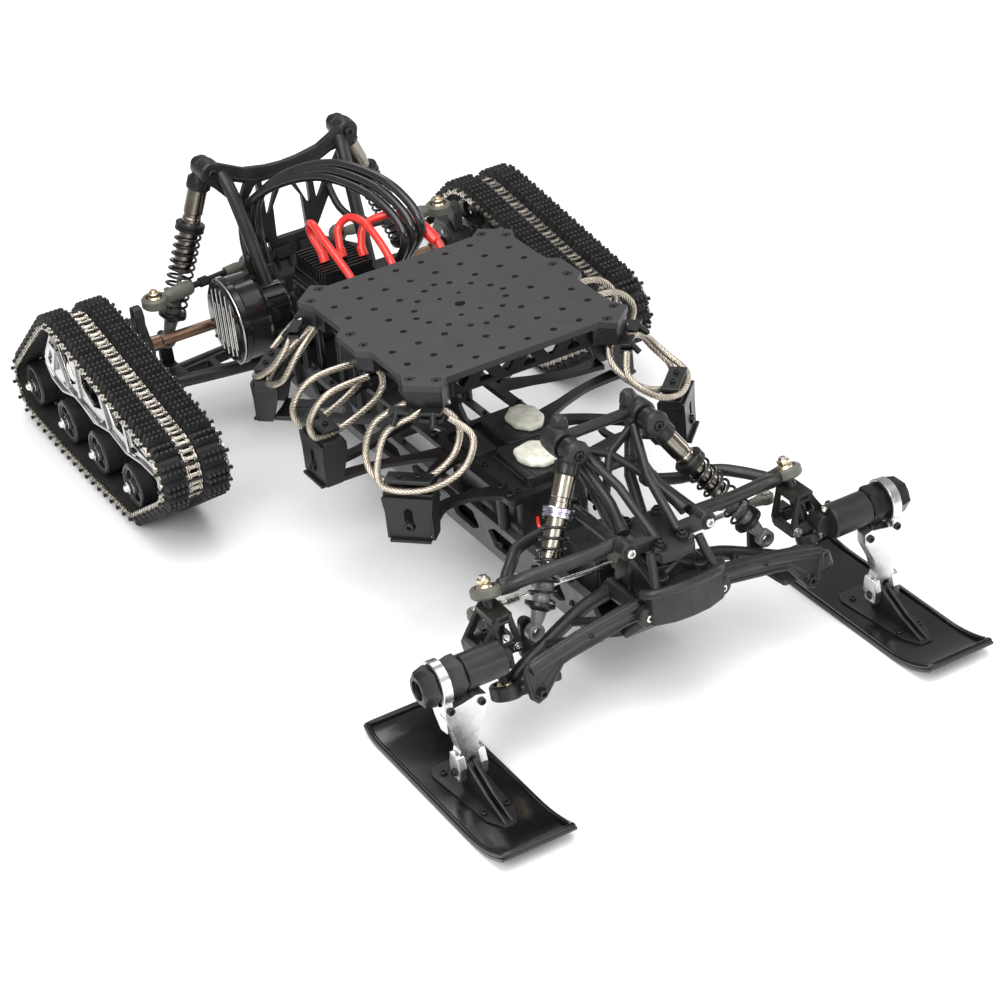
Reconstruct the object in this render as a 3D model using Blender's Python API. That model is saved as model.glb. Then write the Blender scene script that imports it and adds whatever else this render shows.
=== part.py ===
"""Tracked rover chassis: front skis, rear track pods, and a payload deck on wire-rope isolators.

Frame: +X forward (skis), +Y left, +Z up, Z = 0 at the ground, X = 0 at the middle of the overall length.
All the dimensions below are millimetres; MM turns them into metres when a mesh is made.
"""
import bpy
import bmesh
from math import pi, sin, cos, tau, atan2, hypot, radians
from mathutils import Matrix, Vector

# ------------------------------------------------------------------ driving dimensions (mm)
MM = 0.001
GAP = 0.3                      # between pieces that only rest on each other

DECK_X = 32.2                  # centre of the payload deck
DECK_TOP = 227.0
DECK_T = 6.0
DECK_HX, DECK_HY = 105.0, 98.5  # half sizes between the corner ears
HOLE_PX, HOLE_PY = 26.0, 24.6  # hole pitch
HOLE_R = 2.6
CENTRE_R = 4.6

CHASSIS_HY = 45.0
CHASSIS_Z0, CHASSIS_Z1 = 44.0, 80.0
FRAME_Z0, FRAME_Z1 = 112.0, 118.0  # lower isolator frame

F_AXLE = (338.0, 100.0)        # x, z of the front stub axles
F_LOW_IN = (34.0, 98.0)        # y, z of the lower arms' inner pivots
F_LOW_BALL = (328.0, 146.0, 60.0)
F_UP_IN = (36.0, 149.0)
F_UP_BALL = (300.0, 140.0, 134.0)
F_SHOCK_TOP = (266.0, 36.5, 205.0)
F_SHOCK_LOW = (312.0, 108.0, 90.0)
F_STEER_X = 283.0

R_AXLE = (-310.0, 100.0)
R_LOW_IN = (50.0, 54.0)
R_LOW_OUT = (152.0, 62.0)
R_UP_IN = (-306.0, 48.0, 152.0)
R_UP_OUT = (-292.0, 151.0, 151.0)
R_SHOCK_TOP = (-324.0, 71.0, 252.0)
R_SHOCK_LOW = (-324.0, 134.0, 92.0)

MOTOR_C = (-257.0, 126.0)
MOTOR_R = 42.0

BELT_Y = (182.0, 256.0)
BELT_INNER, BELT_CORD, BELT_LUG = 1.2, 6.0, 13.0
LUGS = 38
SPROCKET_R = 45.0
WHEELS = ((-418.0, 41.0), (-336.0, 36.0), (-262.0, 36.0), (-180.0, 39.0))
WHEEL_R = 21.8
NOSE = (-108.0, 88.0, 24.0)

SKI_X = (232.0, 452.0)
SKI_Y = (161.0, 229.0)

# ------------------------------------------------------------------ scene and helpers
for old in list(bpy.data.objects):
    bpy.data.objects.remove(old)
for old in list(bpy.data.collections):
    bpy.data.collections.remove(old)

parts = bpy.data.collections.new("tracked_chassis")
helpers = bpy.data.collections.new("cutters")
helpers.hide_render = True
bpy.context.scene.collection.children.link(parts)
bpy.context.scene.collection.children.link(helpers)


def material(name, colour, roughness, metallic):
    """One Principled material per node."""
    m = bpy.data.materials.new(name)
    m.use_nodes = True
    bsdf = m.node_tree.nodes["Principled BSDF"]
    bsdf.inputs["Base Color"].default_value = (*colour, 1.0)
    bsdf.inputs["Roughness"].default_value = roughness
    bsdf.inputs["Metallic"].default_value = metallic
    return m


def adopt(name, mesh, matrix=None):
    """A new object in the helper collection, holding mesh."""
    obj = bpy.data.objects.new(name, mesh)
    helpers.objects.link(obj)
    if matrix is not None:
        obj.matrix_world = matrix
    return obj


def baked(obj):
    """Replace obj with a plain mesh of what it evaluates to, in world space."""
    bpy.context.view_layer.update()
    deps = bpy.context.evaluated_depsgraph_get()
    mesh = bpy.data.meshes.new_from_object(obj.evaluated_get(deps), depsgraph=deps)
    mesh.transform(obj.matrix_world)
    if obj.matrix_world.determinant() < 0:
        mesh.flip_normals()
    bm = bmesh.new()
    bm.from_mesh(mesh)
    bmesh.ops.remove_doubles(bm, verts=bm.verts, dist=2e-6)
    bm.to_mesh(mesh)
    bm.free()
    name = obj.name
    bpy.data.objects.remove(obj)
    return adopt(name, mesh)


def from_bmesh(name, bm, matrix=None):
    mesh = bpy.data.meshes.new(name)
    bm.to_mesh(mesh)
    bm.free()
    return baked(adopt(name, mesh, matrix or Matrix.Identity(4)))


def box(x, y, z, bevel=0.0, name="box"):
    """A block between the given limits, its edges chamfered where the chamfer is 3 mm or more."""
    bm = bmesh.new()
    bmesh.ops.create_cube(bm, size=1.0)
    size = Vector((x[1] - x[0], y[1] - y[0], z[1] - z[0])) * MM
    mid = Vector((x[0] + x[1], y[0] + y[1], z[0] + z[1])) * (MM / 2)
    bmesh.ops.scale(bm, vec=size, verts=bm.verts)
    if bevel >= 3:
        bmesh.ops.bevel(bm, geom=bm.edges, offset=bevel * MM, segments=1, affect="EDGES")
    bmesh.ops.translate(bm, vec=mid, verts=bm.verts)
    return from_bmesh(name, bm)


def cyl(p0, p1, r0, r1=None, n=16, name="cyl"):
    """A round bar or cone from p0 to p1."""
    a, b = Vector(p0) * MM, Vector(p1) * MM
    axis = b - a
    bm = bmesh.new()
    bmesh.ops.create_cone(bm, cap_ends=True, cap_tris=False, segments=n, radius1=r0 * MM,
                          radius2=(r0 if r1 is None else r1) * MM, depth=axis.length)
    turn = axis.to_track_quat("Z", "Y").to_matrix().to_4x4()
    return from_bmesh(name, bm, Matrix.Translation((a + b) / 2) @ turn)


def ball(p, r, n=12, name="ball"):
    bm = bmesh.new()
    bmesh.ops.create_uvsphere(bm, u_segments=n, v_segments=max(6, n // 2), radius=r * MM)
    return from_bmesh(name, bm, Matrix.Translation(Vector(p) * MM))


def turned(profile, p0, direction, n=24, name="turned"):
    """A turned piece: profile of (distance along the axis, radius), closed at both ends on the axis."""
    bm = bmesh.new()
    ring = None
    rings = []
    for t, r in profile:
        if r == 0:
            rings.append([bm.verts.new((0, 0, t * MM))])
        else:
            rings.append([bm.verts.new((r * MM * cos(tau * i / n), r * MM * sin(tau * i / n), t * MM)) for i in range(n)])
    for a, b in zip(rings, rings[1:]):
        for i in range(n):
            j = (i + 1) % n
            if len(a) == 1:
                bm.faces.new((a[0], b[j], b[i]))
            elif len(b) == 1:
                bm.faces.new((a[i], a[j], b[0]))
            else:
                bm.faces.new((a[i], a[j], b[j], b[i]))
    bmesh.ops.recalc_face_normals(bm, faces=bm.faces)
    turn = Vector(direction).to_track_quat("Z", "Y").to_matrix().to_4x4()
    return from_bmesh(name, bm, Matrix.Translation(Vector(p0) * MM) @ turn)


def tube(points, r, sides=8, name="tube", cyclic=False):
    """A round bar bent along points: a poly curve with a bevel and filled caps."""
    curve = bpy.data.curves.new(name, "CURVE")
    curve.dimensions = "3D"
    curve.bevel_depth = r * MM
    curve.bevel_resolution = {4: 0, 6: 1, 8: 2, 12: 4}[sides]
    curve.use_fill_caps = not cyclic
    spline = curve.splines.new("POLY")
    spline.points.add(len(points) - 1)
    for p, q in zip(spline.points, points):
        p.co = (q[0] * MM, q[1] * MM, q[2] * MM, 1)
    spline.use_cyclic_u = cyclic
    return baked(adopt(name, curve))


PLANES = {
    "xy": Matrix(((1, 0, 0, 0), (0, 1, 0, 0), (0, 0, 1, 0), (0, 0, 0, 1))),
    "xz": Matrix(((1, 0, 0, 0), (0, 0, -1, 0), (0, 1, 0, 0), (0, 0, 0, 1))),
    "yz": Matrix(((0, 0, 1, 0), (1, 0, 0, 0), (0, 1, 0, 0), (0, 0, 0, 1))),
}


def plate(outlines, low, high, plane="xy", name="plate"):
    """A flat plate: a filled 2D curve (the first outline, then its holes) extruded between low and high."""
    curve = bpy.data.curves.new(name, "CURVE")
    curve.dimensions = "2D"
    curve.fill_mode = "BOTH"
    curve.extrude = (high - low) / 2 * MM
    for outline in outlines:
        spline = curve.splines.new("POLY")
        spline.points.add(len(outline) - 1)
        for p, q in zip(spline.points, outline):
            p.co = (q[0] * MM, q[1] * MM, 0, 1)
        spline.use_cyclic_u = True
    mid = (low + high) / 2 * MM
    shift = {"xy": (0, 0, mid), "xz": (0, mid, 0), "yz": (mid, 0, 0)}[plane]
    return baked(adopt(name, curve, Matrix.Translation(shift) @ PLANES[plane]))


def circle(cx, cy, r, n=8, turn=0.0):
    return [(cx + r * cos(tau * i / n + turn), cy + r * sin(tau * i / n + turn)) for i in range(n)]


def boolean(base, tool, operation):
    mod = base.modifiers.new("b", "BOOLEAN")
    mod.operation = operation
    mod.solver = "EXACT"
    mod.object = tool
    out = baked(base)
    bpy.data.objects.remove(tool)
    return out


def union(*pieces):
    base = pieces[0]
    for piece in pieces[1:]:
        base = boolean(base, piece, "UNION")
    return base


def cut(base, *tools):
    for tool in tools:
        base = boolean(base, tool, "DIFFERENCE")
    return base


def smooth_path(points, per=4):
    """A Catmull-Rom path through points, with per steps in each span."""
    pts = [Vector(p) for p in points]
    out = []
    for i in range(len(pts) - 1):
        a, b, c, d = pts[max(i - 1, 0)], pts[i], pts[i + 1], pts[min(i + 2, len(pts) - 1)]
        for k in range(per):
            t = k / per
            out.append(0.5 * ((2 * b) + (c - a) * t + (2 * a - 5 * b + 4 * c - d) * t * t + (3 * b - a - 3 * c + d) * t ** 3))
    out.append(pts[-1])
    return out


def finish(obj, name, colour, roughness, metallic, pivot=(0, 0, 0)):
    """Name a node, put its origin on its pivot, give it its material and move it to the parts."""
    p = Vector(pivot) * MM
    bm = bmesh.new()
    bm.from_mesh(obj.data)
    bmesh.ops.dissolve_limit(bm, angle_limit=radians(0.1), verts=bm.verts, edges=bm.edges)
    bm.to_mesh(obj.data)
    bm.free()
    obj.data.transform(Matrix.Translation(-p))
    obj.location = p
    obj.name = name
    obj.data.name = name
    obj.data.materials.clear()
    obj.data.materials.append(material(name, colour, roughness, metallic))
    obj.data.set_sharp_from_angle(angle=radians(35))
    helpers.objects.unlink(obj)
    parts.objects.link(obj)
    return obj


BLACK = ((0.02, 0.02, 0.022), 0.42, 0.0)
ANOD = ((0.07, 0.07, 0.073), 0.5, 0.35)
ALU = ((0.82, 0.82, 0.80), 0.25, 1.0)
STEEL = ((0.60, 0.57, 0.50), 0.35, 1.0)
RUBBER = ((0.015, 0.015, 0.015), 0.7, 0.0)


def m(p, s):
    """Mirror a point to side s (-1 right, +1 left)."""
    return (p[0], s * p[1], p[2])


def span(a, b):
    return (min(a, b), max(a, b))


# ------------------------------------------------------------------ chassis pan, with its windowed side rails
def rail(low, high):
    top = [(-250, 46.5), (-250, 66), (-215, CHASSIS_Z1), (292, CHASSIS_Z1), (299, 70), (299, 46.5)]
    holes = []
    for k, (x0, x1) in enumerate(((-190, -120), (-100, -40), (40, 100), (118, 178), (196, 250))):
        a, b, c = 55.5 + 0.21 * k, 62 + 0.37 * (k % 3), 72.5 - 0.23 * k
        holes.append([(x0 + 8, a), (x1 - 8, a + 0.05), (x1, b), (x1 - 8, c), (x0 + 8, c - 0.05), (x0, b + 0.1)])
    return plate([top] + holes, low, high, "xz")


pan = union(box((-252, 358), (-CHASSIS_HY + 1, CHASSIS_HY - 1), (CHASSIS_Z0, 49)),
            rail(-CHASSIS_HY, -CHASSIS_HY + 4), rail(CHASSIS_HY - 4, CHASSIS_HY),
            box((-350, -250), (-34, 34), (CHASSIS_Z0 + 0.5, 49.4)))
pan = cut(pan, box((308, 352), (-60, -26.5), (30, 60)), box((308, 352), (26.5, 60), (30, 60)))
finish(pan, "chassis_pan", *ANOD)

tray = union(box((46, 166), (-35, 35), (49 + GAP, 126), 3), box((56, 96), (14, 32), (124, 129), 1), box((112, 152), (-10, 22), (124, 129), 1))
finish(tray, "electronics_tray", *BLACK)

# ------------------------------------------------------------------ lower isolator frame: arms and six brackets
arms = []
BRACKETS = []                  # centre, outward direction, half width
for sx in (1, -1):
    for sy in (-1, 1):
        BRACKETS.append(((DECK_X + sx * 128, sy * 127), Vector((sx, sy)).normalized(), 23))
for sy in (-1, 1):
    BRACKETS.append(((DECK_X, sy * 141), Vector((0, sy)), 23))

pieces = [plate([[(-84, -47), (176, -47), (176, 47), (-84, 47)], [(-66, -38), (38, -38), (38, 38), (-66, 38)],
                 [(42, -37.2), (170, -36.8), (170, 36.8), (42, 37.2)]], FRAME_Z0, FRAME_Z1)]
for (cx, cy), d, hw in BRACKETS:
    side = Vector((-d.y, d.x))
    foot = Vector((cx, cy)) - d * 6
    if abs(d.x) > 0.1:
        roots = ((DECK_X + (52 if d.x > 0 else -52), 44 * (1 if cy > 0 else -1)), (DECK_X + (118 if d.x > 0 else -100), 40 * (1 if cy > 0 else -1)))
    else:
        roots = ((DECK_X - 34, 44 * (1 if cy > 0 else -1)), (DECK_X + 34, 44 * (1 if cy > 0 else -1)))
    for k, root in enumerate(roots):
        a = Vector(root)
        b = foot + side * (10 if (k == 0) == (side.dot(Vector(roots[0]) - Vector(roots[1])) > 0) else -10)
        n = Vector((-(b - a).y, (b - a).x)).normalized()
        pieces.append(plate([[tuple(a + n * 8), tuple(a - n * 8), tuple(a.lerp(b, 0.5) - n * 5), tuple(b - n * 7), tuple(b + n * 7), tuple(a.lerp(b, 0.5) + n * 5)]],
                            FRAME_Z0 + 0.4 + 0.2 * k, FRAME_Z1 - 0.4 - 0.2 * k))
    c = Vector((cx, cy))
    bm = bmesh.new()
    vs = []
    for z, w, depth in ((FRAME_Z0 + 1, 18, 8), (152, hw, 12)):
        vs.append([bm.verts.new(Vector((*(c + side * u * w + d * v * depth - d * (12 - depth) * 0.2), z)) * MM) for u, v in ((-1, -1), (1, -1), (1, 1), (-1, 1))])
    bm.faces.new(vs[0])
    bm.faces.new(vs[1])
    for i in range(4):
        bm.faces.new((vs[0][i], vs[0][(i + 1) % 4], vs[1][(i + 1) % 4], vs[1][i]))
    bmesh.ops.recalc_face_normals(bm, faces=bm.faces)
    pieces.append(from_bmesh("bracket", bm))
for x in (-58, 152):
    for sy in (-1, 1):
        pieces.append(box((x - 6, x + 6), span(sy * 39, sy * 45.5), (CHASSIS_Z1 + GAP, FRAME_Z0 + 2)))
finish(union(*pieces), "deck_frame", *BLACK)

# ------------------------------------------------------------------ front bulkhead, shock tower and bumper
pieces = [box((304, 352), (-25, 25), (49 + GAP, 132), 2), box((296, 356), (-22, 22), (128, 158))]
for sy in (-1, 1):
    pieces.append(tube([(249, sy * 36.5, 203), (252, sy * 20, 188), (280, sy * 16, 160), (312, sy * 18, 118)], 6, 6))
    pieces.append(tube([(252, sy * 20, 200), (300, sy * 14, 180), (346, sy * 13, 150)], 5, 6))
    pieces.append(cyl((246, sy * 36.5, 205), (257.5, sy * 36.5, 205), 12, n=16))
    pieces.append(cyl((256, sy * 36.5, 205), (272, sy * 36.5, 205), 5.6, n=10))
    pieces.append(tube([(249, sy * 29, 200), (275, sy * 15, 118), (306, sy * 16, 100)], 5.5, 6))
pieces.append(tube([(251, -36, 206), (251, 36, 206)], 5.2, 6))
pieces.append(tube([(272, -24, 150), (272, 24, 150)], 4.5, 6))
# bumper: a bowed bar in front of the bulkhead
pieces.append(plate([[(350, -12), (356, -20), (361, -36), (369, -34), (372, -16), (373, 0), (372, 16), (369, 34), (361, 36), (356, 20), (350, 12)]], 90, 124))
finish(union(*pieces), "front_bulkhead", *BLACK)

# ------------------------------------------------------------------ rear drive unit: gearbox, side case and motor
pieces = [box((-345, -292), (-36, 36), (49.4 + GAP, 148), 3),
          cyl((R_AXLE[0], -43, R_AXLE[1]), (R_AXLE[0], 43, R_AXLE[1]), 15, n=16),
          box((-332, -285), (-72, -30), (124.5, 139)),
          turned(((0, 0), (0, MOTOR_R - 5), (1.5, MOTOR_R - 3), (3, MOTOR_R), (8, MOTOR_R), (9.5, MOTOR_R - 2), (32, MOTOR_R - 2), (34, MOTOR_R - 6), (34, 0)),
                 (MOTOR_C[0], -100, MOTOR_C[1]), (0, 1, 0), 24),
          box((-290, -262), (-70.4, -57), (125.2, 146))]
finish(union(*pieces), "drive_unit", *BLACK)

# ------------------------------------------------------------------ rear shock tower and its braces
wing = [(-24, 150), (-30, 178), (-50, 206), (-80, 244), (-80, 258), (-66, 262), (-40, 244), (0, 236), (40, 244), (66, 262), (80, 258), (80, 244),
        (50, 206), (30, 178), (24, 150)]
windows = [[(-58, 228), (-44, 212), (-34, 230)], [(58, 228), (34, 230), (44, 212)], [(-24, 226), (-22, 190), (-4, 227.5)], [(24, 226), (4, 227.5), (22, 190)],
           [(-10, 200), (-12, 166), (12, 166), (10, 200)]]
pieces = [plate([wing] + windows, -309, -302, "yz"), box((-312, -298), (-22, -3), (148 + GAP, 160)), box((-312, -298), (3, 22), (148 + GAP, 160))]
for sy in (-1, 1):
    pieces.append(cyl((-305, sy * 71, 252), (-330, sy * 71, 252), 5.6, n=10))
    pieces.append(cyl((-303.5, sy * 71, 252), (-299, sy * 71, 252), 8, n=10))
    pieces.append(tube([(-306, sy * 62, 248), (-292, sy * 58, 232), (-250, sy * 52, 136), (-228, sy * 49, 88)], 6.5, 6))
    pieces.append(box((-236, -220), span(sy * 45.3, sy * 53), (60, 92), 1))
finish(union(*pieces), "rear_shock_tower", *BLACK)

# ------------------------------------------------------------------ speed controller on its stand, and the cables
pieces = [box((-208, -142), (-46, 10), (158, 190), 3)]
for k in range(7):
    pieces.append(box((-204 + k * 9.2, -200.5 + k * 9.2), (-43, 7), (188, 200)))
for x, y in ((-196, -34), (-196, 0), (-152, -34), (-152, 0)):
    pieces.append(box((x - 4, x + 4), (y - 4, y + 4), (49 + GAP, 160)))
finish(union(*pieces), "speed_controller", *BLACK)

pieces = []
for k in (-1, 0, 1):
    o = Vector((2.0 * k, 9.5 * k, 3.0 * k))
    route = [Vector(p) + o for p in ((-287, -22, 156), (-284, -22, 200), (-276, -14, 236), (-254, 0, 254), (-222, 18, 259), (-165, 36, 250), (-128, 42, 224), (-146, 38, 190), (-168, 34, 172))]
    pieces.append(tube(smooth_path(route, 2), 4.2, 6))
pieces.append(box((-294, -280), (-37, -6), (148 + GAP, 160)))
pieces.append(box((-176, -160), (20, 50), (164, 182), 2))
finish(union(*pieces), "motor_leads", *RUBBER)

pieces = []
for route in (((-170, -30, 206), (-186, -32, 222), (-176, -34, 236), (-150, -34, 226), (-116, -30, 204), (-100, -28, 186)),
              ((-166, -14, 207), (-178, -8, 222), (-172, 2, 232), (-146, 6, 232), (-112, 8, 212), (-100, 8, 186))):
    pieces.append(tube(smooth_path(route, 3), 3.6, 6))
pieces.append(box((-178, -160), (-38, -8), (200 + GAP, 210), 2))
pieces.append(box((-108, -92), (-38, 16), (176, 190), 2))
finish(union(*pieces), "battery_leads", (0.72, 0.03, 0.02), 0.35, 0.0)

# ------------------------------------------------------------------ payload deck
# half of the outline, from the front edge past two corner ears and the ear between them to the rear edge
upper = [(105, 62), (116, 72), (116, 86), (92, 108), (79, 108), (68, 98.5), (30, 98.5), (17, 108), (-17, 108), (-30, 98.5), (-68, 98.5),
         (-79, 108), (-92, 108), (-116, 86), (-116, 72), (-105, 62)]
outer = [(DECK_X + x, y) for x, y in upper] + [(DECK_X + x, -y) for x, y in reversed(upper)]
holes = [circle(DECK_X, 0, CENTRE_R, 16)]
for i in range(8):
    for j in range(8):
        x, y = (i - 3.5) * HOLE_PX, (j - 3.5) * HOLE_PY
        if hypot(x, y) < 34 or (abs(x) > 80 and abs(y) > 70):
            continue
        holes.append(circle(DECK_X + x, y, HOLE_R, 5, 0.11 * (i * 3 + j * 5)))
deck = plate([outer] + holes, DECK_TOP - DECK_T, DECK_TOP)
finish(deck, "payload_plate", *ANOD)

top = DECK_TOP - DECK_T - GAP
pieces = [box((DECK_X - 100, DECK_X + 100), (-56, -44), (204, top)), box((DECK_X - 100, DECK_X + 100), (44, 56), (204, top)),
          box((DECK_X - 86, DECK_X - 74), (-84, 84), (204.6, top - 0.2)), box((DECK_X + 74, DECK_X + 86), (-84, 84), (204.6, top - 0.2)),
          box((DECK_X - 8, DECK_X + 8), (-96, 96), (207.4, top - 0.4))]
for sx in (1, -1):
    for sy in (-1, 1):
        pts = [(70, 70), (112, 70), (114, 86), (92, 106), (78, 106), (70, 84)]
        pieces.append(plate([[(DECK_X + sx * x, sy * y) for x, y in pts]], 208, top - 0.6))
for sy in (-1, 1):
    pts = [(-26, 88), (26, 88), (16, 106), (-16, 106)]
    pieces.append(plate([[(DECK_X + x, sy * y) for x, y in pts]], 208, top - 0.6))
finish(union(*pieces), "payload_frame", *BLACK)

# ------------------------------------------------------------------ wire-rope isolators
for name, sx, sy in (("fr", 1, -1), ("fl", 1, 1), ("rr", -1, -1), ("rl", -1, 1)):
    def w(x, y, z):
        return (DECK_X + sx * (x - DECK_X), sy * -y, z)
    route = [w(114, -100, 203), w(104, -124, 190), w(108, -138, 170), w(132, -142, 158), w(160, -118, 158.5), w(166, -90, 172), w(154, -74, 190), w(136, -82, 202.6),
             w(136, -104, 202.6), w(124, -124, 190), w(130, -138, 172), w(150, -146, 158.6), w(176, -122, 158.6), w(188, -92, 172), w(176, -74, 190), w(158, -84, 203)]
    finish(tube(smooth_path(route, 2), 3.0, 4), f"wire_rope_{name}", *STEEL)
for name, sy in (("mr", -1), ("ml", 1)):
    def w(x, y, z):
        return (DECK_X + x, sy * -y, z)
    route = [w(-17, -92, 203), w(-24, -82, 190), w(-24, -92, 172), w(-19, -126, 158.5), w(-15, -152, 158.5), w(-14, -158, 178), w(-12, -140, 198), w(-7, -102, 202.5),
             w(0, -92, 202), w(8, -84, 190), w(8, -92, 172), w(10, -126, 158.5), w(14, -152, 158.5), w(17, -158, 178), w(19, -140, 198), w(21, -102, 202.5)]
    finish(tube(smooth_path(route, 2), 3.0, 4), f"wire_rope_{name}", *STEEL)


# ------------------------------------------------------------------ a coil-over shock: body, rod and spring
def shock(side, top_p, low_p, body_name, rod_name, spring_name, scale):
    a, b = Vector(top_p), Vector(low_p)
    d = (b - a).normalized()
    length = (b - a).length
    eye = 8.0 * scale
    body = union(turned(((7.2, 0), (7.2, 7 * scale), (10, 9.5 * scale), (24, 9.5 * scale), (25, 8 * scale), (length * 0.30, 8 * scale), (length * 0.31, 13 * scale),
                         (length * 0.35, 13 * scale), (length * 0.36, 7.6 * scale), (length * 0.60, 7.6 * scale), (length * 0.605, 4.4 * scale), (length * 0.50, 4.4 * scale), (length * 0.495, 0)), a, d, 12),
                 cyl(a + Vector((-5, 0, 0)), a + Vector((5, 0, 0)), eye + 2.2, n=12))
    body = cut(body, cyl(a + Vector((-9, 0, 0)), a + Vector((9, 0, 0)), 6.5, n=12))
    rod = union(turned(((length * 0.59, 0), (length * 0.59, 3.0 * scale), (length * 0.80, 3.0 * scale), (length * 0.81, 12.5 * scale), (length * 0.84, 12.5 * scale),
                        (length * 0.86, 6 * scale), (length - 8, 3.6 * scale), (length - 4, 3.2 * scale), (length - 3, 0)), a, d, 12),
                cyl(b + Vector((-4, 0, 0)), b + Vector((4, 0, 0)), eye * 0.85, n=8))
    turns = 7
    n = 8
    side_v = d.orthogonal().normalized()
    up_v = d.cross(side_v)
    r = 10.6 * scale
    pts = []
    s0, s1 = length * 0.365 + 2.4, length * 0.80 - 2.2
    for i in range(turns * n + 1):
        t = i / (turns * n)
        ang = tau * i / n
        pts.append(a + d * (s0 + (s1 - s0) * t) + side_v * r * cos(ang) + up_v * r * sin(ang))
    spring = tube(pts, 1.35 * scale, 4)
    finish(body, body_name, (0.25, 0.22, 0.18), 0.3, 1.0, top_p)
    finish(rod, rod_name, (0.05, 0.05, 0.05), 0.4, 0.3, top_p)
    finish(spring, spring_name, (0.02, 0.02, 0.02), 0.35, 0.6, top_p)


for tag, s in (("r", -1), ("l", 1)):
    # -------------------------------------------------------------- front lower arm
    lb, ub = Vector(m(F_LOW_BALL, s)), Vector(m(F_UP_BALL, s))
    king = (ub - lb).normalized()
    y, z = F_LOW_IN
    web = [(30, 111), (60, 113.4), (88, 112), (116, 103), (125, 90), (133, 73), (139, 58), (131, 54), (122, 59.6), (106, 83), (92, 87), (32, 91)]
    pieces = [cyl((304, s * y, z), (351, s * y, z), 7, n=12),
              tube([(309, s * y, z), (310, s * 70, 88), tuple(lb + Vector((-4, -s * 12, 1)))], 6, 6),
              plate([[(s * a, b) for a, b in web]], 344, 349.4, "yz"),
              tube([(346.3, s * 54, 97.1), (309, s * 74, 86)], 4, 8), box((318.3, 346.1), span(s * 119.4, s * 135.7), (56.9, 65.2)),
              cyl(lb - king * 6, lb + king * 6, 13, n=12),
              box((293.8, 321), span(s * 101, s * 115), (60.4, 73)),
              cyl((294, s * 108, 90), (303, s * 108, 90), 4.5, n=10), box((294, 300), span(s * 102, s * 114), (60, 95))]
    arm = cut(union(*pieces), cyl(lb - king * 12, lb + king * 12, 9.2, n=12))
    finish(arm, f"front_lower_arm_{tag}", *BLACK, (328, s * y, z))

    # -------------------------------------------------------------- front upper arm
    y, z = F_UP_IN
    pieces = [cyl((256, s * y, z), (331, s * y, z), 5, n=12),
              tube([(325, s * y, z), tuple(ub + Vector((6, -s * 9, 0)))], 5, 6), tube([(262, s * y, z), (269, s * 95, 139), tuple(ub + Vector((-7, -s * 8, 0)))], 4.6, 6),
              cyl(ub - king * 5, ub + king * 5, 12, n=12)]
    arm = cut(union(*pieces), cyl(ub - king * 12, ub + king * 12, 8.7, n=12))
    finish(arm, f"front_upper_arm_{tag}", *BLACK, (300, s * y, z))

    # -------------------------------------------------------------- kingpin carrier: two balls on a post
    post = union(cyl(lb, ub, 5.5, n=12), ball(lb, 8.6, 8), ball(ub, 8.1, 8))
    finish(post, f"kingpin_carrier_{tag}", *STEEL, F_LOW_BALL if s > 0 else m(F_LOW_BALL, -1))

    # -------------------------------------------------------------- knuckle with its stub axle and the ski leg clamped to it
    mid = lb.lerp(ub, 0.5)
    ax, az = F_AXLE
    pieces = [cyl(lb + king * 19, ub - king * 19, 11.5, n=12),
              box((mid.x - 2, ax + 4), span(s * 136, s * 158), (86, 112)),
              cyl((ax, s * 152, az), (ax, s * 178, az), 15, n=14),
              cyl((ax, s * 176, az), (ax, s * 206, az), 10, n=6), cyl((ax, s * 205, az), (ax, s * 213, az), 8.5, n=6),
              box((F_STEER_X, mid.x), span(s * 136, s * 146), (88, 98), 2),
              cyl((ax, s * 187, az), (ax, s * 203, az), 18, n=14)]
    leg = [(ax - 13, 96), (ax + 13, 96), (ax + 17, 60), (ax + 20, 22), (ax + 14, 15), (ax + 4, 15), (ax, 22), (ax - 8, 60)]
    pieces.append(plate([leg], min(s * 188, s * 202), max(s * 188, s * 202), "xz"))
    body = union(*pieces)
    body = cut(body, cyl(lb, ub, 6.0, n=12), cyl((ax + 11, s * 180, 23), (ax + 11, s * 210, 23), 4.4, n=12))
    finish(body, f"knuckle_{tag}", *ALU, tuple(lb))

    # -------------------------------------------------------------- ski, turning on its pin under the leg
    px, pz = ax + 11, 23
    shell = []
    x0, x1 = SKI_X
    y0, y1 = SKI_Y
    side = [(x0 + 2, 9), (x0, 6), (x0 + 8, 1.5), (x0 + 26, 0), (x1 - 48, 0), (x1 - 22, 1.5), (x1 - 3, 8), (x1, 12), (x1 - 2, 13.5), (x1 - 10, 10), (x1 - 26, 5.2), (x1 - 50, 3.6), (x0 + 26, 3.6), (x0 + 10, 5)]
    pieces = [plate([side], span(s * y0, s * y1)[0], span(s * y0, s * y1)[1], "xz")]
    for yy in (y0 + 3, y1 - 3):
        pieces.append(tube([(x0 + 5, s * yy, 7), (x0 + 26, s * yy, 4), (x1 - 48, s * yy, 4), (x1 - 24, s * yy, 6), (x1 - 5, s * yy, 11)], 3, 6))
    for yy in (183, 204):
        rib = [(px - 46, 2), (px + 60, 2), (px + 20, 16), (px + 7, 29), (px - 7, 29), (px - 20, 14)]
        pieces.append(plate([rib], min(s * yy, s * (yy + 3)), max(s * yy, s * (yy + 3)), "xz"))
    pieces.append(cyl((px, s * 184, pz), (px, s * 206, pz), 3.9, n=12))
    finish(union(*pieces), f"ski_{tag}", *BLACK, (px, s * 195, pz))

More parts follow.
